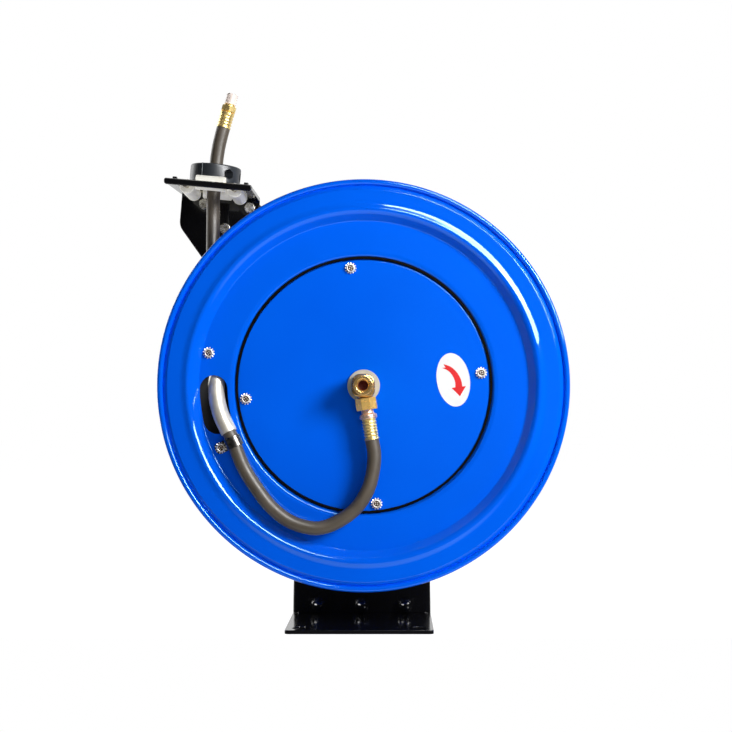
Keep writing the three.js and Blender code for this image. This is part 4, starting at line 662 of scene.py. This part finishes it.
# A dark red floor in the bore: painted shade.
bore = turned([(0, -86.5), (4.6, -86.5), (4.6, -91.8), (4.95, -91.8), (4.95, -86.2), (0, -86.2)], 40,
              closed=False)
piece("swivel_inlet", placed(stem, AXIS), "inlet_stem", brass, "swivel_stem",
      second=(placed(bore, AXIS), painted_bore_shade))
washer = disc(16.5, -61.3, -59.3, 0.6, bore=8.3, steps=72)
piece("swivel_disc", placed(washer, AXIS), "spool", washer_nylon, "swivel_washer")
port_nut = prism(20.6, 12.6, 24.6, turn=20, sides=8)
piece("port_nut_octagon", placed(port_nut, PORT), "spool", nut_brass, "port_nut", smooth=25)


def ribbed(start, ribs, pitch, radius, depth, end):
    """A crimped ferrule with a rolled end, as [radius, y, reach] from its front edge."""
    line = []
    for i in range(ribs):
        at = start + i * pitch
        line += [(radius, at, 0.3), (radius - depth, at + pitch * 0.22, 0.3),
                 (radius - depth, at + pitch * 0.5, 0.3), (radius, at + pitch * 0.72, 0.3)]
    return [*line, (radius, end - 1.2, 0.3), (radius + 0.7, end - 0.8, 0.3), (radius + 0.7, end, 0.3),
            (7.1, end)]


nipple = rounded([(0, 24.9), (6.2, 24.9), (6.2, 28.2, 1.2), (8.8, 29.6, 0.8), (8.8, 33.2, 0.6),
                  (7.0, 33.9), (0, 33.9)], step=15)
piece("inlet_nipple", placed(turned(nipple, 56, closed=False), PORT), "spool", copper, "inlet_fitting",
      smooth=50)
ferrule = rounded([(0, 33.6), (7.3, 33.6, 0.4), *ribbed(34.6, 6, 3.1, 7.3, 0.6, 54.62), (0, 54.62)],
                  step=20)
piece("inlet_ferrule", placed(turned(ferrule, 56, closed=False), PORT), "spool", gold_brass,
      "inlet_fitting", smooth=50)

# sticker with a turning arrow, its top leaning to the left
STICKER = Matrix.Translation((94.5, COVER_Y, 253.6)) @ rotation(-9, "Y")
oval = [(16.7 * math.cos(a), 27.2 * math.sin(a)) for a in (math.radians(5 * k) for k in range(72))]
piece("sticker", placed(stood(slab(oval, [], -0.25, -0.02, 0.05)), STICKER), "spool", vinyl)


def arrow_outline():
    """A curved band that widens from a swallow tail to a head that points down."""
    middle = [(-8.5, 15.5, 0), (-2.0, 11.5, 0), (2.6, 5.0, 0), (4.6, -2.0, 0), (4.4, -8.0, 0)]
    line = [p.to_2d() for p in curve_through(middle, 8)]
    last = len(line) - 1
    left, right = [], []
    for i, p in enumerate(line):
        way = (line[min(i + 1, last)] - line[max(i - 1, 0)]).normalized()
        half = 2.0 + 1.6 * i / last
        left.append((p.x + way.y * -half, p.y + way.x * half))
        right.append((p.x + way.y * half, p.y - way.x * half))
    return [*left, (left[-1][0] + 3.6, left[-1][1]), (4.0, -17.5), (right[-1][0] - 3.8, right[-1][1]),
            *right[::-1], (-5.8, 13.4)]


piece("sticker_arrow", placed(stood(slab(arrow_outline(), [], -0.32, -0.2, 0.02)), STICKER), "spool",
      red_print)

# hub side at the back
hub = turned(rounded([(14.3, -22.4), (19, -22.4, 0.6), (19, 27.3), (36, 27.3, 0.5), (36, 31.3, 0.8),
                      (19, 31.3, 0.4), (19, 37.6, 0.8), (14.3, 37.6)], step=15), 72)
piece("hub_turning", placed(hub, AXIS), "spool", steel, "hub")

PAWL_ANGLE = -88                                     # of the notch above the pawl's tip
TIP_RADIUS, ROOT_RADIUS, NOTCHES = 52, 45, 12        # of the ratchet wheel


def ratchet_outline():
    loop = []
    for i in range(NOTCHES):
        middle = PAWL_ANGLE + 360 / NOTCHES * i
        loop += [(*polar(r, middle + a), reach) for r, a, reach in
                 ((TIP_RADIUS, -15, 0), (TIP_RADIUS, -9, 0.8), (ROOT_RADIUS, -6, 1.2),
                  (ROOT_RADIUS, 6, 1.2), (TIP_RADIUS, 9, 0.8))]
    return rounded(loop, step=20)


wheel = slab(ratchet_outline(), [circle(0, 0, 19.45, 60)], *WHEEL_Y, 0.4)
piece("ratchet_plate", placed(stood(wheel), AXIS), "spool", zinc, "ratchet_wheel")

# ------------------------ frame
foot = slab(rounded([(-74.5, -80, 4), (74.5, -80, 4), (74.5, 80, 4), (-74.5, 80, 4)]),
            [oblong(x, y, 9, 16) for x in (-59.5, 59.5) for y in (-60, 66.5)], 0, 4, 0.5)
lip = stood(slab(rounded([(-68.5, 2), (68.5, 2), (65.5, 34, 8), (-65.5, 34, 8)]), [], 52.8, 56.8, 0.5))
piece("foot_pressing", together(foot, lip), "frame", black, "foot_plate", smooth=50)


def upright_outline(inset):
    """The channel from the front, open at the bottom: straight sides and a round head."""
    lean = 22                                        # angle at which the head starts
    right = [(74.5 - inset, 4.3), (74.3 - inset, 20), (72 - inset, 150)]
    head = arc(AXIS_X, AXIS_Z, 62 - inset, spread(lean, 180 - lean, 40))
    return [*right, *head, *[(-x, z) for x, z in right[::-1]]]


def upright_form():
    """A sheet channel: front web, rounded bends and returns to the rear."""
    section = [(5, UPRIGHT_Y), *arc(5, 53.5, 5, range(-105, -181, -15)), (0, 74.1), (0.4, 74.5),
               (3.6, 74.5), (4, 74.1), (4, 54), *arc(5.5, 54, 1.5, (210, 240, 270))]
    corners, n = [], len(upright_outline(0))
    for inset, y in section:
        corners += [(x, y, z) for x, z in upright_outline(inset)]
    starts = [i * n for i in range(len(section))]
    faces = [(a + k, a + k + 1, b + k + 1, b + k)
             for a, b in zip(starts, starts[1:]) for k in range(n - 1)]
    faces += [tuple(range(n)), tuple(range(starts[-1], starts[-1] + n))]
    faces.append((*starts, *[start + n - 1 for start in starts[::-1]]))
    return corners, faces


piece("upright_channel", upright_form(), "frame", black, "upright", smooth=50)


def bolt(flats, head, washer, thickness, shank):
    """Head toward -Y, its seat at y = 0; a nut sits beyond the two sheets."""
    nut = 8.9                                        # where the nut starts
    return together(prism(flats, -thickness - head, -thickness + 0.01, bevels=(True, False)),
                    disc(washer / 2, -thickness, 0, 0.35),
                    disc(shank / 2, -thickness / 2, nut + shank * 1.1, 0.5, steps=28),
                    prism(flats, nut, nut + shank * 0.8, bevels=(False, True)))


def bolted(name, form, finish, twist, *place):
    """A bolt's piece at its place, turned by twist radians."""
    form = placed(form, *place, Matrix.Rotation(twist, 4, "Y"))
    return piece(f"{name}_set", form, "frame", finish, name, smooth=30)


crown = turned([(6.1, 0), (5.2, -1.1), (4, -1.9), (2, -2.5), (0, -2.7)], 40, closed=False)
crowned = together(bolt(13, 5.3, 16, 1.6, 8), placed(crown, (0, -6.7, 0)))
base_pieces = [bolted(f"base_bolt_{i + 1}", crowned, black, 0.3 * i, (x, ARM_Y[1], 12.6))
               for i, x in enumerate((-47, 0, 47))]
for i, (x, z) in enumerate(((-14.8, 291.7), (-33.2, 276.3))):
    bolted(f"arm_bolt_{i + 1}", bolt(13, 5.3, 15, 1.5, 8), zinc, 0.4 * i, (x, ARM_Y[0] - 0.3, z))

arm = rounded([(-166, 421, 14), (-181, 436, 6), (-181, 453, 6), (-110, 448, 8), (-97, 406.5, 14),
               (5.7, 282.6, 16), (-28.1, 254.6, 16)])
piece("guide_arm_plate", stood(slab(arm, [], *ARM_Y, 0.5)), "frame", black, "guide_arm", smooth=50)

shaft = turned(rounded([(0, -48.4), (11, -48.4, 0.8), (11, 37.9), (18, 37.9, 0.6), (18, 48.2, 0.6),
                        (11, 48.2), (11, 71.8, 1.2), (0, 71.8)], step=15), 56, closed=False)
piece("shaft_turning", placed(shaft, AXIS), "frame", steel, "main_shaft")
nut = together(disc(23, 52.8, 55.3, 0.4, bore=11.3, steps=72),
               prism(34, 54.3, 66.8, bore=11.3, bevels=(False, True)))
piece("shaft_nut_set", placed(nut, AXIS), "frame", zinc, "shaft_nut", smooth=30)

PIVOT = Matrix.Translation((38, 0, -65.8))
pin = turned(rounded([(0, 29.3), (6, 29.3, 0.8), (6, 31.3), (4, 31.3), (4, 36.9), (6.5, 36.9, 0.4),
                      (6.5, 48.2), (4, 48.2), (4, 56.5, 0.7), (0, 56.5)], step=15), 40, closed=False)
piece("pawl_pin_turning", placed(pin, AXIS, PIVOT), "frame", zinc, "pawl_pin")


def pawl_form():
    tip = Vector(polar(TIP_RADIUS + 0.5, PAWL_ANGLE)) - Vector((38, -65.82))
    reach = tip.length
    loop = rounded([(-7, 6, 4), (4, 7, 4), (reach - 10, -1, 4), (reach - 6, -4, 1), (reach - 4.4, 0, 0.5),
                    (reach, 0, 0.5), (reach + 0.8, -9, 3), (4, -10, 4), (-7, -8, 4)])
    plate = slab(loop, [circle(0, 0, 4.3, 32)], *WHEEL_Y, 0.4)
    u = tip / reach
    return [(u.x * a + u.y * b, w, u.y * a - u.x * b) for a, b, w in plate[0]], plate[1]


piece("pawl_plate", placed(pawl_form(), AXIS, PIVOT), "pawl", zinc, "pawl")


def pawl_spring_path():
    """Leg, two and a half turns, leg."""
    turns = []
    for k in range(76):
        x, z = polar(7.8, 70 - 12 * k)
        turns.append(Vector((x, 37.9 + 9.3 * k / 75, z)))

    def leg(at, sign):
        way = Vector((at.z, 0, -at.x)).normalized()
        return [at + way * sign * step for step in (15, 5, 1)]

    return [*leg(turns[0], -1), *turns, *leg(turns[-1], 1)[::-1]]


piece("pawl_spring_wire", placed(swept(pawl_spring_path(), 0.7, 12), AXIS, PIVOT), "frame", spring_steel,
      "pawl_spring", weighted=False)

# ------------------------ hose guide
# The centre of the bend is at BEND_Z, and the sheet's top face lies BEND_OUTER away from it.
BEND_FROM, BEND_LENGTH, BEND_OUTER, BEND_Z = 42.9, 4 * math.pi / 2, 6, -5.5


def leaf(z):
    """Where the flat sheet holds what hangs at z once the leaf is bent."""
    return BEND_FROM + BEND_LENGTH + BEND_Z - z


def bracket_form():
    """One sheet with the roller window and a leaf that is bent down at the rear, four lugs and a hem."""
    flat = rounded([(-45.5, -44.6, 7), (43, -44.6, 7), (44, BEND_FROM), (44, leaf(-47), 8),
                    (22, leaf(-83), 7), (1, leaf(-85), 7), (-14, leaf(-67.6), 4), (-40, leaf(-37), 6),
                    (-40, BEND_FROM)])
    window = rounded([(-33.1, -41, 2), (33.1, -41, 2), (33.1, 41, 2), (-33.1, 41, 2)])
    sheet = mesh_of("bracket_flat", slab(flat, [window], 0, 4, 0.5))
    work = bmesh.new()
    work.from_mesh(sheet)
    for s in spread(BEND_FROM, BEND_FROM + BEND_LENGTH, 8):
        bmesh.ops.bisect_plane(work, geom=[*work.verts, *work.edges, *work.faces],
                               plane_co=(0, s * MM, 0), plane_no=(0, 1, 0), dist=1e-7)
    work.verts.ensure_lookup_table()
    corners = []
    for v in work.verts:
        x, s, w = v.co / MM                       # w is measured down from the top face
        turn = min(max((s - BEND_FROM) / BEND_LENGTH, 0), 1) * math.pi / 2
        past = max(s - BEND_FROM - BEND_LENGTH, 0)
        out = BEND_OUTER - w
        corners.append((x, min(s, BEND_FROM) + out * math.sin(turn),
                        BEND_Z + out * math.cos(turn) - past))
    faces = [tuple(v.index for v in f.verts) for f in work.faces]
    work.free()
    lugs = []
    for x in (-36.6, 36.6):
        for y in (-32.5, 32.5):
            outline = rounded([(y - 4.2, 0), (y + 4.2, 0), (y + 4.2, 4.3, 3.2), (y - 4.2, 4.3, 3.2)])
            lug = slab(outline, [], x - 2.2, x + 2.2, 0.4)
            lugs.append(([(w, u, v) for u, v, w in lug[0]], lug[1]))
    hem = stood(slab(rounded([(-46, -5.4, 3), (43.4, -5.4, 3), (43.4, 0.9, 2), (-46, 0.9, 2)]), [],
                     -45.2, -41.3, 1.0))
    return together((corners, faces), *lugs, hem)


piece("bracket_pressing", placed(bracket_form(), GUIDE), "frame", black, "guide_bracket", smooth=50)
for i, (x, z) in enumerate(((-15, -11.6), (34, -11.6), (9.5, -36))):
    bolted(f"bracket_bolt_{i + 1}", bolt(10, 4, 11.6, 1, 6), glint_mottled_zinc, 0.5 * i, GUIDE, (x, 44.6, z))


def roller(length):
    half = length / 2
    return turned(rounded([(2.3, -half), (5.6, -half, 0.3), (7.5, -half, 1.4), (7.5, half, 1.4),
                           (5.6, half, 0.3), (2.3, half)], step=15), 56)


across_pin = disc(2, -39.1, 39.1, 0.5, steps=24)
along_pin = together(disc(2, -43, 48.9, 0.5, steps=24), prism(5.5, -43.6, -41.2))
for name, length, pin, smooth, *place in (
        ("across_{}_front", 30.5, across_pin, 40, (0, -32.5, 0.7), ACROSS),
        ("across_{}_rear", 30.5, across_pin, 40, (0, 32.5, 0.7), ACROSS),
        ("along_{}_left", 56, along_pin, 30, (-24.6, 0, -3.7)),
        ("along_{}_right", 56, along_pin, 30, (24.6, 0, -3.7))):
    turning, fixed = name.format("roller"), name.format("pin")
    piece(f"{turning}_form", placed(roller(length), GUIDE, *place), turning, glowing_nylon, turning)
    piece(f"{fixed}_form", placed(pin, GUIDE, *place), "frame", zinc, fixed, smooth=smooth)


# ------------------------ hose stop and outlet
SCREW_OFF, SCREW_UP = 11.2, 9.2                      # the stop's screws, off its middle and up


def stop_half(side):
    ring = turned(rounded([(7.6, 0), (26.2, 0, 1.2), (26.2, 18.6, 1.8), (11.2, 18.6, 0.6),
                           (10.2, 20.8, 0.8), (7.6, 20.8, 0.4)], step=15), 96)
    near, far = sorted((side * 0.35, side * 30))
    space = slab([(near, -30), (far, -30), (far, 30), (near, 30)], [], -1, 25, 0.01)
    half = carved(placed(ring, UP), space, keep="INTERSECT")
    pocket = prism(9.4, 9, 30, bevels=(False, False))
    return carved(half, *[placed(pocket, (0, y, SCREW_UP), rotation(-side * 90, "Z"))
                          for y in (-SCREW_OFF, SCREW_OFF)])


# A light grey strip along the split of the left half: a painted highlight on the seam.
seam_highlight = slab([(-0.5, -26.35), (0.5, -26.35), (0.5, -8), (-0.5, -8)], [], 0.4, 18.7, 0.1)
for side, name, second in ((-1, "left", (placed(seam_highlight, STOP), seam_highlight_grey)), (1, "right", None)):
    half = piece(f"stop_half_{name}_moulding", placed(stop_half(side), STOP), "frame", dark_plastic,
                 f"stop_half_{name}", smooth=35, weighted=False, second=second)
    edges = half.modifiers.new("edges", "BEVEL")
    edges.width, edges.segments, edges.limit_method = 0.9 * MM, 3, "ANGLE"
    edges.angle_limit = math.radians(50)
    edges.harden_normals = True
screw = together(prism(8, -13.3, -9.3, bevels=(True, False)), disc(2.3, -10, 14.3, 0.3, steps=24),
                 prism(8, 9.3, 13.3, bevels=(False, True)))
for i, y in enumerate((-SCREW_OFF, SCREW_OFF)):
    piece(f"stop_screw_{i + 1}_set", placed(screw, STOP, (0, y, SCREW_UP), ACROSS), "frame", zinc,
          f"stop_screw_{i + 1}", smooth=30)

shell = rounded([(0, 0), (7.3, 0, 0.4), *ribbed(1.4, 4, 3.3, 7.3, 0.7, 17.4)[:-3],
                 (7.3, 16.4, 0.4), (6, 17.4), (0, 17.4)], step=20)
thread = [(0, 23), (6, 23), (6, 24.6, 0.3), (5.2, 24.9)]
for i in range(8):
    thread += [(4.4, 25.2 + i), (4.9, 25.6 + i)]
thread = rounded([*thread, (4.4, 33.4), (0, 33.4)], step=20)
coupling = together(turned(shell, 56, closed=False), prism(14.5, 17.4, 23.4, turn=80),
                    turned(thread, 40, closed=False))
coupling = piece("outlet_coupling_turning", placed(coupling, COUPLING), "frame", gold_brass,
                 "outlet_coupling", smooth=35)
cap = turned(rounded([(5.2, 25.4), (5.8, 25.4, 0.2), (5.8, 36.4, 0.9), (0, 36.4)], step=15)
             + [(0, 33.7), (5.2, 33.7)], 48)
cap = piece("thread_cap_moulding", placed(cap, COUPLING), "frame", clear_plastic, "thread_cap")

# ------------------------ CAD nodes that stay
for name, finish in (("drum", blue), ("hub_bushing", brass), ("shaft_ring", spring_steel),
                     ("power_spring", spring_steel), ("swivel_locknut", brass)):
    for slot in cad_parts[name].material_slots:
        slot.material = finish


# ------------------------ floor, world and lights
mesh = bpy.data.meshes.new("floor")
mesh.from_pydata([(-6, -0.1, 0), (6, -0.1, 0), (6, 8, 0), (-6, 8, 0)], [], [(0, 1, 2, 3)])
mesh.materials.append(Finish("pale_floor", Base_Color=(0.3, 0.3, 0.3, 1), Roughness=0.9,
                             Specular_IOR_Level=0.0, Emission_Color=(1, 1, 1, 1),
                             Emission_Strength=0.93).material)
floor = bpy.data.objects.new("floor", mesh)
scene.collection.objects.link(floor)
floor.visible_glossy = False

world = bpy.data.worlds.new("studio")
scene.world = world
world.use_nodes = True
world.node_tree.nodes.clear()


def world_node(kind, inputs, operation=None):
    """A node of the world with those values or links on its inputs."""
    made = world.node_tree.nodes.new(kind)
    if operation:
        made.operation = operation
    for key, value in inputs.items():
        if isinstance(value, bpy.types.NodeSocket):
            world.node_tree.links.new(value, made.inputs[key])
        else:
            made.inputs[key].default_value = value
    return made.outputs


def fade(value, start, end, low, high):
    return world_node("ShaderNodeMapRange", {"Value": value, "From Min": start, "From Max": end,
                                             "To Min": low, "To Max": high})[0]


# The camera sees white. All other rays meet a dark room with a pale wall behind the object and a pale
# table that lies low in front of it.
way = world_node("ShaderNodeTexCoord", {})["Generated"]
axes = world_node("ShaderNodeSeparateXYZ", {0: way})
wall = fade(axes["Y"], 0.15, 0.6, 0.02, 0.8)
table = world_node("ShaderNodeMath", {0: fade(axes["Z"], -0.42, -0.6, 0.02, 0.95),
                                      1: fade(axes["Y"], 0, -0.35, 0, 1)}, "MULTIPLY")[0]
most = world_node("ShaderNodeMath", {0: wall, 1: table}, "MAXIMUM")[0]
room = world_node("ShaderNodeBackground", {"Color": (1, 1, 1, 1), "Strength": most})[0]
white = world_node("ShaderNodeBackground", {"Color": (1, 1, 1, 1)})[0]
by_camera = world_node("ShaderNodeLightPath", {})["Is Camera Ray"]
shown = world_node("ShaderNodeMixShader", {0: by_camera, 1: room, 2: white})[0]
world_node("ShaderNodeOutputWorld", {0: shown})


def softbox(name, at, width, height, watts, shines=True, glossy=True, shape="RECTANGLE", roll=0):
    """A lamp that faces the object. Without shines only gloss shows it; without glossy, gloss doesn't."""
    data = bpy.data.lights.new(name, "AREA")
    data.shape, data.size, data.size_y, data.energy = shape, width, height, watts
    lamp = bpy.data.objects.new(name, data)
    scene.collection.objects.link(lamp)
    lamp.location = at
    lamp.rotation_euler = (Vector((0, -0.06, 0.25)) - Vector(at)).to_track_quat("-Z", "Y").to_euler()
    if roll:
        lamp.rotation_euler.rotate_axis("Z", math.radians(roll))
    lamp.visible_camera, lamp.visible_diffuse, lamp.visible_glossy = False, shines, glossy
    return lamp


softbox("key", (0.95, -0.9, 0.76), 0.5, 0.5, 21.5)
softbox("fill", (0.5, -2.3, 0.5), 1.0, 1.0, 9.5, glossy=False)
softbox("high", (0.56, -1.08, 1.04), 1.1, 0.46, 34, shines=False, shape="ELLIPSE", roll=-40)
softbox("rear_left", (-1.3, 0.8, 0.6), 0.9, 1.3, 10)

# A low lamp from the left that only shows in the gloss of the base bolts.
low = softbox("low", (-0.9, -1.1, 0.35), 0.9, 0.35, 16, shines=False)
base = bpy.data.collections.new("base")
for obj in base_pieces:
    base.objects.link(obj)
low.light_linking.receiver_collection = base
